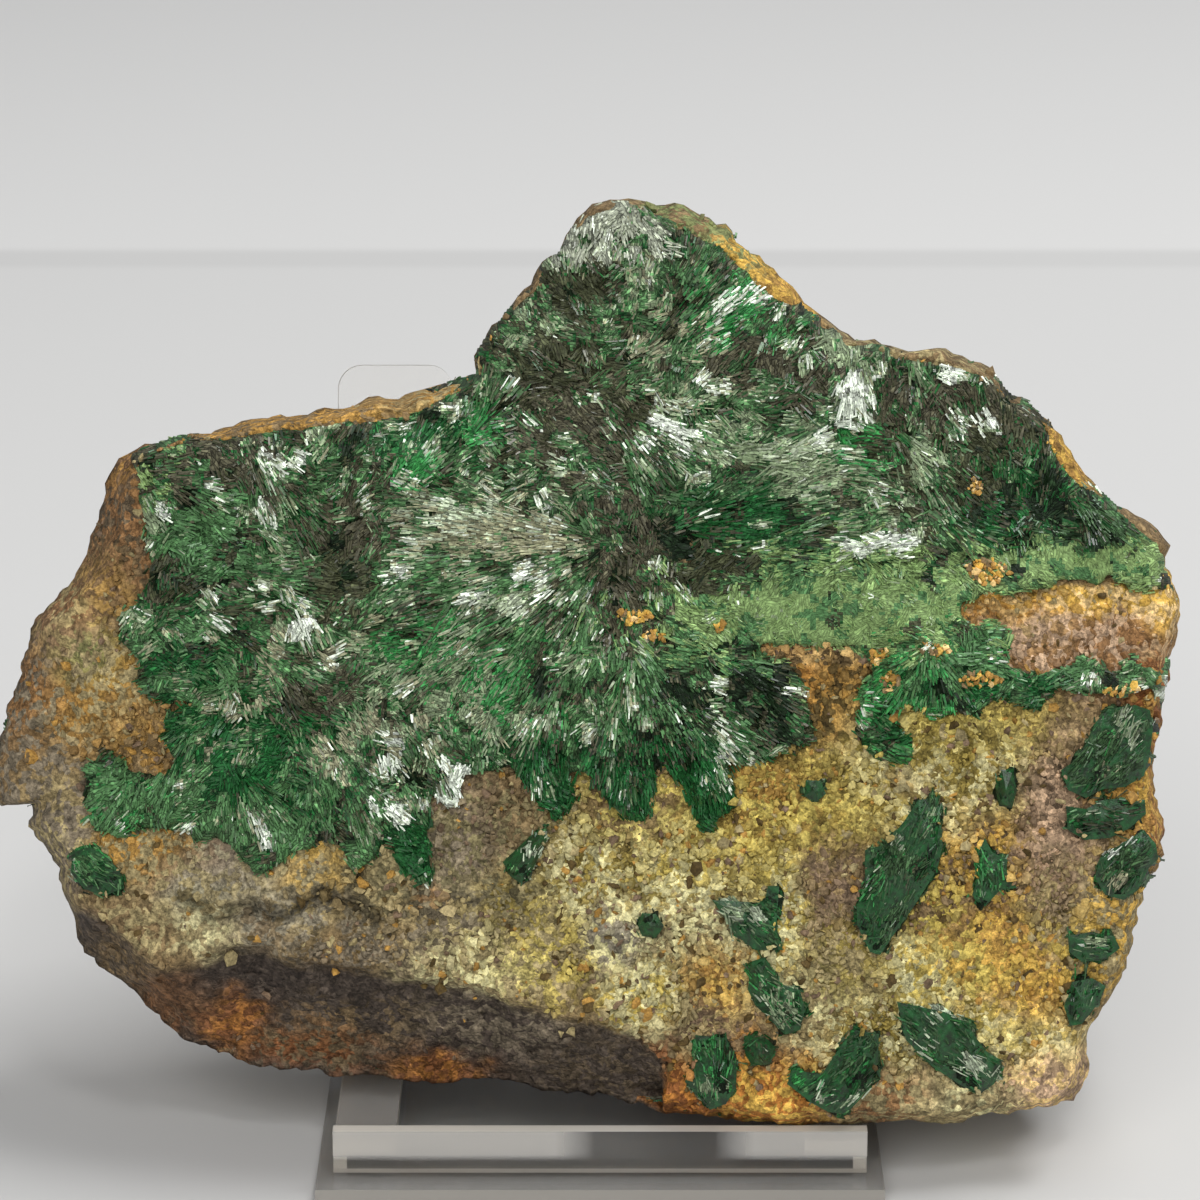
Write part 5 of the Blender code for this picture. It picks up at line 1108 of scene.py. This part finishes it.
def crust_bundles(mask, chance):
    """Bundles of the crust: rows of them along the rays of the large sprays, and between the
    sprays others turned along the streaks."""
    rows = []
    for root_u, root_v, heading, opening, reach in SPRAYS:
        for radius in np.arange(1.3, reach, 1.7):
            count = max(1, round(math.radians(opening) * radius / 1.0))
            turn = (np.arange(count) + 0.5) / count - 0.5 + chance.uniform(-0.3, 0.3, count) / count
            angle = np.radians(heading + opening * turn)
            away = radius + chance.uniform(-0.7, 0.7, count)
            rows.append(np.stack((root_u + away * np.cos(angle), root_v + away * np.sin(angle),
                                  angle + chance.normal(0.0, 0.07, count)), 1))
    rows = np.vstack(rows)
    rows = rows[FACE_MAP.at(rows[:, 0], rows[:, 1], mask)]
    made = Bundles(*rows.T, 1.3, 0.5, 0.07, chance)
    u, v = FACE_MAP.spread_points(mask, 1.42, 312)
    free = ~in_a_spray(u, v)
    u, v = u[free], v[free]
    heading = streak_heading(u, v) + np.radians(chance.normal(0.0, 30.0, len(u)))
    heading += np.pi * (chance.uniform(0.0, 1.0, len(u)) < 0.5)
    return made.joined(Bundles(u, v, heading, 1.0, 0.6, 0.08, chance))


def group_bundles(mask, chance):
    """Bundles of the separate groups, along each group's longest direction."""
    u, v = FACE_MAP.spread_points(mask, 1.15, 331)
    owner = FACE_MAP.at(u, v, FACE_MAP.owner)
    heading = chance.uniform(0.0, math.tau, len(u))
    for number in range(2, len(STONE_NODES)):
        cells = FACE_MAP.owner == number
        spots = np.stack((FACE_MAP.u[cells], FACE_MAP.v[cells]), 1)
        middle = spots.mean(0)
        axis = np.linalg.svd(spots - middle)[2][0]
        mine = owner == number
        side = np.sign((u - middle[0]) * axis[0] + (v - middle[1]) * axis[1])
        lean = math.atan2(axis[1], axis[0]) + np.where(side < 0, math.pi, 0.0)
        heading = np.where(mine, lean + np.radians(chance.normal(0.0, 16.0, len(u))), heading)
    return Bundles(u, v, heading, 1.3, 0.45, 0.03, chance)


def crust_mask():
    """Vertices of the crust's skin: the crust's cells with a ragged edge, carried out to the
    silhouette where the crust runs over it."""
    crust = FACE_MAP.owner == 1
    u, v = flat(FACE_MAP.u), flat(FACE_MAP.v)
    ragged = 0.55 * face_lumps(u, v, 1.5, 151) + 0.35 * face_lumps(u, v, 0.7, 152)
    bare = zone_mix(u, v, BARE_RIM).max(1) > 0.5
    over = (FACE_MAP.rim < 1.7) & ~bare.reshape(crust.shape)
    margin = np.where(over, 2.4, 0.5) + ragged.reshape(crust.shape)
    signed = FACE_MAP.distance(~crust) - FACE_MAP.distance(crust)
    return (signed + margin > 0) & (FACE_MAP.owner >= 0) & (FACE_MAP.owner < 2)


def group_mask():
    """Vertices of the skin of the separate groups, with a slightly ragged edge."""
    groups = FACE_MAP.owner >= 2
    u, v = flat(FACE_MAP.u), flat(FACE_MAP.v)
    ragged = 0.7 * face_lumps(u, v, 1.2, 153) + 0.5 * face_lumps(u, v, 0.6, 154)
    signed = FACE_MAP.distance(~groups) - FACE_MAP.distance(groups)
    signed = signed + 0.6 + ragged.reshape(groups.shape)
    return (signed > 0) & (FACE_MAP.owner >= 0) & (FACE_MAP.owner != 1)


def whole_cells(mask):
    """Cells between four vertices of the mask, without cells that touch at a corner alone."""
    cells = mask[:-1, :-1] & mask[:-1, 1:] & mask[1:, :-1] & mask[1:, 1:]
    cells[0], cells[-1] = False, False
    cells[:, 0], cells[:, -1] = False, False
    for _ in range(8):
        low, high = cells[:-1], cells[1:]
        rising = low[:, :-1] & high[:, 1:] & ~low[:, 1:] & ~high[:, :-1]
        falling = low[:, 1:] & high[:, :-1] & ~low[:, :-1] & ~high[:, 1:]
        cells[1:, 1:] &= ~rising
        cells[1:, :-1] &= ~falling
    return cells


def crack_depth(u, v, lines, width):
    """Depth of fine cracks: a narrow Gaussian about each stretch of their lines."""
    depth = np.zeros(len(u))
    for points in lines:
        for start, end in zip(points[:-1], points[1:]):
            line = np.subtract(end, start)
            share = np.clip(((u - start[0]) * line[0] + (v - start[1]) * line[1]) / (line @ line), 0.0, 1.0)
            gap = np.hypot(u - start[0] - share * line[0], v - start[1] - share * line[1])
            depth = np.maximum(depth, np.exp(-0.5 * (gap / width) ** 2))
    return depth


def hollow_depth(u, v):
    """Depth of the crust's hollows: the sum of their Gaussians."""
    return zone_mix(u, v, [row[:4] for row in HOLLOWS]) @ np.array([row[4] for row in HOLLOWS])


def skin_lift(u, v, used, mask, bundles, owner, joint, growth):
    """Height of the crystal skin over the face: the solids' front, softened, plus each bundle's
    own height and rise along its heading, less hollows, cracks and joints."""
    along, _ = bundles.offsets(owner, u, v)
    edge = flat(FACE_MAP.distance(~mask))[used]
    solid = flat(FACE_MAP.owner)[used] > 0
    height = flat(FACE_MAP.soft(FACE_MAP.depth, 3))[used]
    height += np.where(solid, 0.1, 0.42 * np.clip(edge / 0.7, 0.0, 1.0))
    height += bundles.height[owner] + bundles.rise[owner] * along - 0.2 * joint
    height += (0.16 * face_lumps(u, v, 0.8, 163)
               + 0.3 * fractal(np.stack((u, v, 0.0 * u), 1), 2.4, 164, 2))
    if growth.hollows:
        height += hollow_depth(u, v) - 0.9 * crack_depth(u, v, CRACKS, 0.3)
    return height


def rim_sides(cells, quads, count):
    """Quads that join a sheet's upper points to the lower ones, count later, around its edge."""
    rows, columns = np.nonzero(cells)
    sides = []
    for first, second, row_step, column_step in ((0, 1, -1, 0), (1, 2, 0, 1), (2, 3, 1, 0), (3, 0, 0, -1)):
        beyond = ~cells[rows + row_step, columns + column_step]
        near, far = quads[beyond, first], quads[beyond, second]
        sides.append(np.stack((far, near, near + count, far + count), 1))
    return np.vstack(sides)


def fibre_skin(name, mask, bundles, thickness, growth):
    """Closed sheet of crystal over the masked cells. It is lifted off the face, turned down where
    it runs over the silhouette, and its underside is the same sheet lowered, with a rim between
    the two."""
    cells = whole_cells(mask)
    rows, columns = np.nonzero(cells)
    width = FACE_MAP.SIZE[0]
    low = rows * width + columns
    quads = np.stack((low, low + 1, low + width + 1, low + width), 1)
    used, quads = np.unique(quads, return_inverse=True)
    quads = quads.reshape(-1, 4)
    kept = np.zeros(mask.size, bool)
    kept[used] = True
    kept = kept.reshape(mask.shape)
    u = flat(FACE_MAP.soft(FACE_MAP.u, growth.smoothing, kept))[used]
    v = flat(FACE_MAP.soft(FACE_MAP.v, growth.smoothing, kept))[used]
    owner, gap = bundles.nearest(u + 0.2 * face_lumps(u, v, 0.5, 161),
                                 v + 0.2 * face_lumps(u, v, 0.5, 162))
    joint = np.exp(-(gap / 0.22) ** 2) * (1.0 - 0.6 * bundles.felt[owner])
    height = skin_lift(u, v, used, mask, bundles, owner, joint, growth)
    over = np.clip(1.0 - flat(FACE_MAP.rim)[used] / 0.9, 0.0, 1.0)
    height -= 0.9 * over ** 2
    grow_v, grow_u = np.gradient(FACE_MAP.soft(FACE_MAP.rim, 2))
    slope = np.stack((flat(grow_u)[used], flat(grow_v)[used]), 1)
    slope /= np.maximum(np.linalg.norm(slope, axis=1, keepdims=True), 1e-6)
    u, v = (np.stack((u, v), 1) - slope * (0.45 * over)[:, None]).T
    corners = np.vstack((place(u, v, height), place(u, v, height - thickness)))
    count = len(used)
    polygons = np.vstack((quads, quads[:, ::-1] + count, rim_sides(cells, quads, count)))
    tone, fibre = skin_colours(flat(FACE_MAP.u)[used], flat(FACE_MAP.v)[used], quads, bundles, owner,
                               joint, growth)
    rest = 4 * (len(polygons) - len(quads))
    tone = np.vstack((tone, np.tile(np.append(linear(TONES["deep"]), 1.0), (rest, 1))))
    fibre = np.vstack((fibre, np.zeros((rest, 3))))
    return new_mesh(name, corners, [polygons], smooth=True, corner={"tone": tone, "fibre": fibre})


def skin_colours(u, v, quads, bundles, owner, joint, growth):
    """Tone and fibre coordinates at the corners of the skin's quads. A quad belongs to the bundle
    of its first point and takes that bundle's tone, and its fibre coordinates are the distances
    along and across the bundle, moved by a step of each bundle's own."""
    mine = owner[quads[:, 0]]
    blotch = 0.2 * face_lumps(u[quads[:, 0]], v[quads[:, 0]], 0.6, 165)
    level = bundles.level[mine] - 0.02 + blotch
    tone = crystal_tone(bundles.u[mine], bundles.v[mine], level, growth.base, growth.zones)
    tone = np.repeat(tone, 4, axis=0) * growth.shade
    tone = np.hstack((tone, 1.0 - 0.6 * joint[flat(quads), None]))
    shift = np.repeat((mine * 7.31) % 97.0, 4)
    mine = np.repeat(mine, 4)
    along, across = bundles.offsets(mine, u[flat(quads)], v[flat(quads)])
    return tone, np.stack((along + shift, across, bundles.felt[mine]), 1)


def bundle_needles(bundles, mask, settings, growth, chance):
    """Needles of every bundle as arrays of root, tip, width, roll and colour: each lies along
    its bundle, on the bundle's own slope, and lifts its tip a little."""
    per_bundle = max(1, int(settings.needles * growth.needle_share))
    width = settings.needle_width * (0.6 + 0.4 * growth.needle_share)
    index = np.repeat(np.arange(len(bundles.u)), per_bundle)
    count = len(index)
    felt = bundles.felt[index]
    half_length, half_width = bundles.half_length[index], bundles.half_width[index]
    start = chance.uniform(-1.1, 0.5, count) * half_length
    length = chance.uniform(0.35, 1.05, count) * half_length
    across = chance.uniform(-1.2, 1.2, count) * half_width
    fan = across / half_width * math.radians(7.0) + np.radians(chance.normal(0.0, 3.5, count))
    fan = fan + felt * chance.uniform(-0.8, 0.8, count)
    cosine, sine = np.cos(bundles.heading[index]), np.sin(bundles.heading[index])
    u = bundles.u[index] + start * cosine - across * sine
    v = bundles.v[index] + start * sine + across * cosine
    angle = bundles.heading[index] + fan
    far_u, far_v = u + length * np.cos(angle), v + length * np.sin(angle)
    keep = FACE_MAP.at(u, v, mask) & FACE_MAP.at(far_u, far_v, mask)
    keep &= FACE_MAP.at(u, v, FACE_MAP.rim) > 0.25
    index, u, v, far_u, far_v, start, length, felt = (
        a[keep] for a in (index, u, v, far_u, far_v, start, length, felt))
    count = len(index)
    ground = FACE_MAP.soft(FACE_MAP.depth, 3)
    lift = bundles.height[index] + bundles.rise[index] * start + 0.04
    w = FACE_MAP.at(u, v, ground) + lift - 0.05
    tip_rise = bundles.rise[index] * length + chance.uniform(0.02, 0.34, count) * (1.0 - 0.6 * felt)
    far_w = FACE_MAP.at(far_u, far_v, ground) + lift + tip_rise
    sound = np.abs(far_w - w) < STEEPEST_NEEDLE * length + NEEDLE_STEP
    index, u, v, w, far_u, far_v, far_w, felt = (
        a[sound] for a in (index, u, v, w, far_u, far_v, far_w, felt))
    count = len(index)
    if growth.hollows:
        w = w + hollow_depth(u, v)
        far_w = far_w + hollow_depth(far_u, far_v)
    level = bundles.level[index] + chance.normal(0.0, 0.11, count)
    colour = crystal_tone(bundles.u[index], bundles.v[index], level, growth.base, growth.zones)
    colour = colour * chance.uniform(0.62, 1.5, (count, 1)) * growth.shade
    thick = width * MILLIMETRE * chance.uniform(0.55, 1.45, count) * (1.0 - 0.35 * felt)
    roll = bundles.roll[index] + chance.normal(0.0, 0.25, count)
    return place(u, v, w), place(far_u, far_v, far_w), thick, roll, colour


def settings_group(context):
    """The specimen's settings."""
    return context.scene.specimen


def finish_piece(piece, material, replaced=()):
    """Give a piece its material, its body and the solids it stands for."""
    piece.data.materials.append(material)
    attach(piece, "root")
    if replaced:
        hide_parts(*replaced)


def stone_nodes():
    """Names of the rock, the crust and the separate crystal groups."""
    names = sorted(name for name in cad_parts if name.startswith("atacamite_"))
    names.remove("atacamite_crust")
    return ["matrix_rock", "atacamite_crust"] + names


STONE_NODES = stone_nodes()
FACE_MAP = FaceMap(STONE_NODES)


class SpecimenSettings(bpy.types.PropertyGroup):
    """Sizes of the specimen's fine surface."""
    columns: IntProperty(name="Columns", description="Points around the rock", default=560, min=60)
    front_rings: IntProperty(name="Face rings", description="Rings over the face", default=104, min=8)
    side_rings: IntProperty(name="Side rings", description="Rings along the sides", default=40, min=4)
    back_rings: IntProperty(name="Back rings", description="Rings over the back", default=26, min=3)
    lump_height: FloatProperty(name="Lumps", description="Height of the rock's lumps, mm",
                               default=0.42, min=0.0)
    pebble_height: FloatProperty(name="Pebbles", description="Height of the rock's crumbs, mm",
                                 default=0.5, min=0.0)
    grain_gap: FloatProperty(name="Grain spacing", description="Distance between grains, mm",
                             default=0.54, min=0.2)
    skin: FloatProperty(name="Crystal skin", description="Thickness of the fibrous skin, mm",
                        default=1.5, min=0.3)
    needles: IntProperty(name="Needles", description="Needles in each bundle", default=19, min=1)
    needle_width: FloatProperty(name="Needle width", description="Mean width of a needle, mm",
                                default=0.27, min=0.02)
    acrylic_tint: FloatVectorProperty(name="Acrylic tint", description="Colour of the clear stand",
                                      subtype="COLOR", default=(0.89, 0.88, 0.86), min=0.0, max=1.0)
    lamp_power: FloatProperty(name="Lamp power", description="Power of the lamp overhead",
                              unit="POWER", default=14.0, min=0.0)


class SPECIMEN_OT_rock(bpy.types.Operator):
    """Rough, stained skin of the host rock"""
    bl_idname = "specimen.rock"
    bl_label = "Rock"

    def execute(self, context):
        piece = rock_surface(settings_group(context))
        finish_piece(piece, rock_finish(), ("matrix_rock",))
        return {"FINISHED"}


class SPECIMEN_OT_grains(bpy.types.Operator):
    """Crumbs of the rock's yellow and brown parts, and ochre crumbs on the crust"""
    bl_idname = "specimen.grains"
    bl_label = "Grains"

    def execute(self, context):
        settings = settings_group(context)
        finish = grain_finish()
        chance = np.random.default_rng(211)
        crumbs = self.rock_crumbs(settings, chance)
        crumbs["crust_grains"] = self.crust_crumbs(chance)
        for name, columns in crumbs.items():
            finish_piece(grains(name, *columns, 213), finish)
        return {"FINISHED"}

    @staticmethod
    def rock_crumbs(settings, chance):
        """Place, size and colour of the yellow crumbs and the brown ones. They lie where the rock's
        stains are crumbly, in clumps, and creep a little over the crystals' edges."""
        reach = 0.2 + 0.35 * face_lumps(flat(FACE_MAP.u), flat(FACE_MAP.v), 1.0, 210)
        bare = FACE_MAP.distance(FACE_MAP.owner == 0) < reach.reshape(FACE_MAP.owner.shape)
        bare = (bare | (FACE_MAP.owner == 0)) & (FACE_MAP.owner >= 0) & (FACE_MAP.rim > 0.6)
        u, v = FACE_MAP.spread_points(bare, settings.grain_gap, 212)
        count = len(u)
        places = np.stack((u, v, np.zeros(count)), 1)
        stain, fleck = rock_stain(u, v, np.zeros(count), np.zeros(count))
        crumbly = stain[:, 3]
        below = undercut_share(u, v) > 0.02
        clump = 0.5 + 0.5 * fractal(places, 2.0, 214, 2)
        likely = np.where(below, 0.04, crumbly ** 2 * 1.1) * (0.55 + 0.6 * clump)
        keep = chance.uniform(0.0, 1.0, count) < likely
        rich = fractal(places, 1.6, 215, 2) * 1.4 + 0.45 + chance.normal(0.0, 0.3, count)
        rich = np.clip(rich, 0.0, 1.0)
        colour = stain[:, :3] * (1.0 - rich[:, None]) + fleck * rich[:, None]
        stray = chance.choice(5, count, p=(0.80, 0.06, 0.05, 0.05, 0.04))
        strays = linear([TONES[name] for name in ("tan", "tan", "mauve", "dark_brown", "ochre")])
        colour = np.where((stray > 0)[:, None], strays[stray], colour)
        colour = colour * chance.uniform(0.62, 1.22, (count, 1))
        size = (0.5 + 0.6 * chance.uniform(0.0, 1.0, count) ** 2.0) * (0.75 + 0.35 * rich)
        w = np.where(below, FACE_MAP.at(u, v, FACE_MAP.depth), rock_depth(u, v))
        w = np.minimum(w, FACE_MAP.at(u, v, FACE_MAP.soft(FACE_MAP.depth, 1)) + 0.2)
        creeping = FACE_MAP.at(u, v, FACE_MAP.owner) > 0
        w = np.where(creeping, FACE_MAP.at(u, v, FACE_MAP.depth) + 0.1, w)
        w += (settings.lump_height * 0.5 * fractal(places, 2.6, 216, 1)
              + 0.12 * chance.normal(0.0, 1.0, count))
        yellow = keep & (crumbly > 0.93) & ~below
        columns = (u, v, w, size, colour)
        return {"yellow_grains": [column[yellow] for column in columns],
                "brown_grains": [column[keep & ~yellow] for column in columns]}

    @staticmethod
    def crust_crumbs(chance):
        """Place, size and colour of the ochre crumbs that sit on the crust in small islands."""
        u, v = FACE_MAP.spread_points(FACE_MAP.owner == 1, 0.42, 217)
        near = zone_mix(u, v, ISLANDS).max(1) + 0.25 * face_lumps(u, v, 0.9, 218)
        u, v = u[near > 0.45], v[near > 0.45]
        pick = chance.choice(4, len(u), p=(0.4, 0.26, 0.2, 0.14))
        tones = linear([TONES[name] for name in ("ochre", "gold", "amber", "brown")])
        colour = tones[pick] * chance.uniform(0.75, 1.25, (len(u), 1))
        size = chance.uniform(0.4, 0.75, len(u))
        w = FACE_MAP.at(u, v, FACE_MAP.soft(FACE_MAP.depth, 3)) + chance.uniform(0.1, 0.4, len(u))
        return [u, v, w, size, colour]


class SPECIMEN_OT_crust(bpy.types.Operator):
    """Fibrous green skin of the crust and of the separate groups"""
    bl_idname = "specimen.crust"
    bl_label = "Crust"

    def execute(self, context):
        settings = settings_group(context)
        finish = fibre_finish()
        for name, growth in GROWTHS.items():
            piece = fibre_skin(name + "_skin", *crystals(name), settings.skin, growth)
            finish_piece(piece, finish, growth.replaced)
        inner = crust_finish("group_crystal", rgba("deep"), rgba("emerald"))
        for name in STONE_NODES[1:]:
            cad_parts[name].material_slots[0].material = inner
        return {"FINISHED"}


def crystals(name):
    """Mask and bundles of the crust or of the separate groups."""
    if name == "crust":
        mask = crust_mask()
        return mask, crust_bundles(mask, np.random.default_rng(311))
    mask = group_mask()
    return mask, group_bundles(mask, np.random.default_rng(321))


class SPECIMEN_OT_needles(bpy.types.Operator):
    """Needles that stand a little off the fibrous skin"""
    bl_idname = "specimen.needles"
    bl_label = "Needles"

    def execute(self, context):
        settings = settings_group(context)
        chance = np.random.default_rng(341)
        sets = []
        for name, growth in GROWTHS.items():
            mask, bundles = crystals(name)
            sets.append(bundle_needles(bundles, mask, settings, growth, chance))
        columns = [np.concatenate(group) for group in zip(*sets)]
        order = np.argsort(columns[0][:, 0])
        finish = needle_finish()
        names = ("needles_far_left", "needles_left", "needles_middle", "needles_right",
                 "needles_far_right")
        for name, chosen in zip(names, np.array_split(order, len(names))):
            finish_piece(needles(name, *(column[chosen] for column in columns)), finish)
        return {"FINISHED"}


class SPECIMEN_OT_stand(bpy.types.Operator):
    """Clear acrylic of the stand's plates"""
    bl_idname = "specimen.stand"
    bl_label = "Stand"

    def execute(self, context):
        tint = settings_group(context).acrylic_tint
        finishes = {word: acrylic_finish("acrylic_" + word, tint, *sheet) for word, sheet in SHEETS.items()}
        for name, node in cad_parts.items():
            if name.startswith("stand_"):
                node.material_slots[0].material = finishes[name.split("_")[1]]
        return {"FINISHED"}


class SPECIMEN_OT_stage(bpy.types.Operator):
    """Pale table, soft lights and the camera"""
    bl_idname = "specimen.stage"
    bl_label = "Stage"

    def execute(self, context):
        self.backdrop()
        self.lights(context)
        self.camera(context)
        return {"FINISHED"}

    @staticmethod
    def backdrop():
        """Wide flat table: a grid of places x, y just under the stand."""
        side = FLOOR_SQUARES + 1
        line = np.linspace(-FLOOR_REACH, FLOOR_REACH, side)
        x, y = np.meshgrid(line, line)
        corners = np.stack((flat(x), flat(y), np.full(x.size, -FLOOR_GAP)), 1)
        row, column = (flat(index) for index in np.indices((FLOOR_SQUARES, FLOOR_SQUARES)))
        low = row * side + column
        quads = np.stack((low, low + 1, low + side + 1, low + side), 1)
        stage = new_mesh("stage", corners, [quads], smooth=True)
        stage.data.materials.append(stage_finish())

    @staticmethod
    def lamp(name, where, size, power):
        """Square soft lamp aimed at the middle of the face."""
        light = bpy.data.lights.new(name, "AREA")
        light.size = size
        light.energy = power
        item = bpy.data.objects.new(name, light)
        item.location = where
        aim = Vector(FACE_CENTRE * MILLIMETRE) - Vector(where)
        item.rotation_euler = aim.to_track_quat("-Z", "Y").to_euler()
        bpy.context.collection.objects.link(item)
        return item

    def lights(self, context):
        """A large soft lamp overhead, a wide fill from the front and a small lamp for glints."""
        power = settings_group(context).lamp_power
        for name, (where, size, share) in LAMPS.items():
            self.lamp(name, where, size, power * share).visible_glossy = name != "front_fill"
        world = bpy.data.worlds.new("studio")
        world.use_nodes = True
        background = world.node_tree.nodes["Background"]
        background.inputs["Color"].default_value = SKY_COLOUR
        background.inputs["Strength"].default_value = SKY_STRENGTH
        context.scene.world = world
        context.scene.view_settings.view_transform = "Standard"

    @staticmethod
    def camera(context):
        """Camera in front of the face, looking straight at its centre."""
        data = bpy.data.cameras.new("camera")
        data.sensor_width = SENSOR_WIDTH
        data.lens = SENSOR_WIDTH * EYE_DISTANCE / PICTURE_WIDTH
        data.clip_start = 0.01
        item = bpy.data.objects.new("camera", data)
        where = (FACE_CENTRE + OUT * EYE_DISTANCE) * MILLIMETRE
        turn = Matrix((RIGHT, UP, OUT)).transposed().to_4x4()
        item.matrix_world = Matrix.Translation(Vector(where)) @ turn
        bpy.context.collection.objects.link(item)
        context.scene.camera = item


class SPECIMEN_PT_panel(bpy.types.Panel):
    """Sidebar panel with the specimen's steps"""
    bl_label = "Specimen"
    bl_space_type = "VIEW_3D"
    bl_region_type = "UI"
    bl_category = "Specimen"

    def draw(self, context):
        settings = settings_group(context)
        for name in SpecimenSettings.__annotations__:
            self.layout.prop(settings, name)
        for step in STEPS:
            self.layout.operator(step.bl_idname)


STEPS = (SPECIMEN_OT_rock, SPECIMEN_OT_grains, SPECIMEN_OT_crust, SPECIMEN_OT_needles,
         SPECIMEN_OT_stand, SPECIMEN_OT_stage)
CLASSES = (SpecimenSettings, *STEPS, SPECIMEN_PT_panel)


def register():
    """Register the classes and the settings."""
    for item in CLASSES:
        bpy.utils.register_class(item)
    bpy.types.Scene.specimen = PointerProperty(type=SpecimenSettings)


def unregister():
    """Remove the settings and the classes."""
    del bpy.types.Scene.specimen
    for item in reversed(CLASSES):
        bpy.utils.unregister_class(item)


def main():
    """Run every step."""
    register()
    for step in STEPS:
        family, name = step.bl_idname.split(".")
        getattr(getattr(bpy.ops, family), name)()


if __name__ == "__main__":
    main()
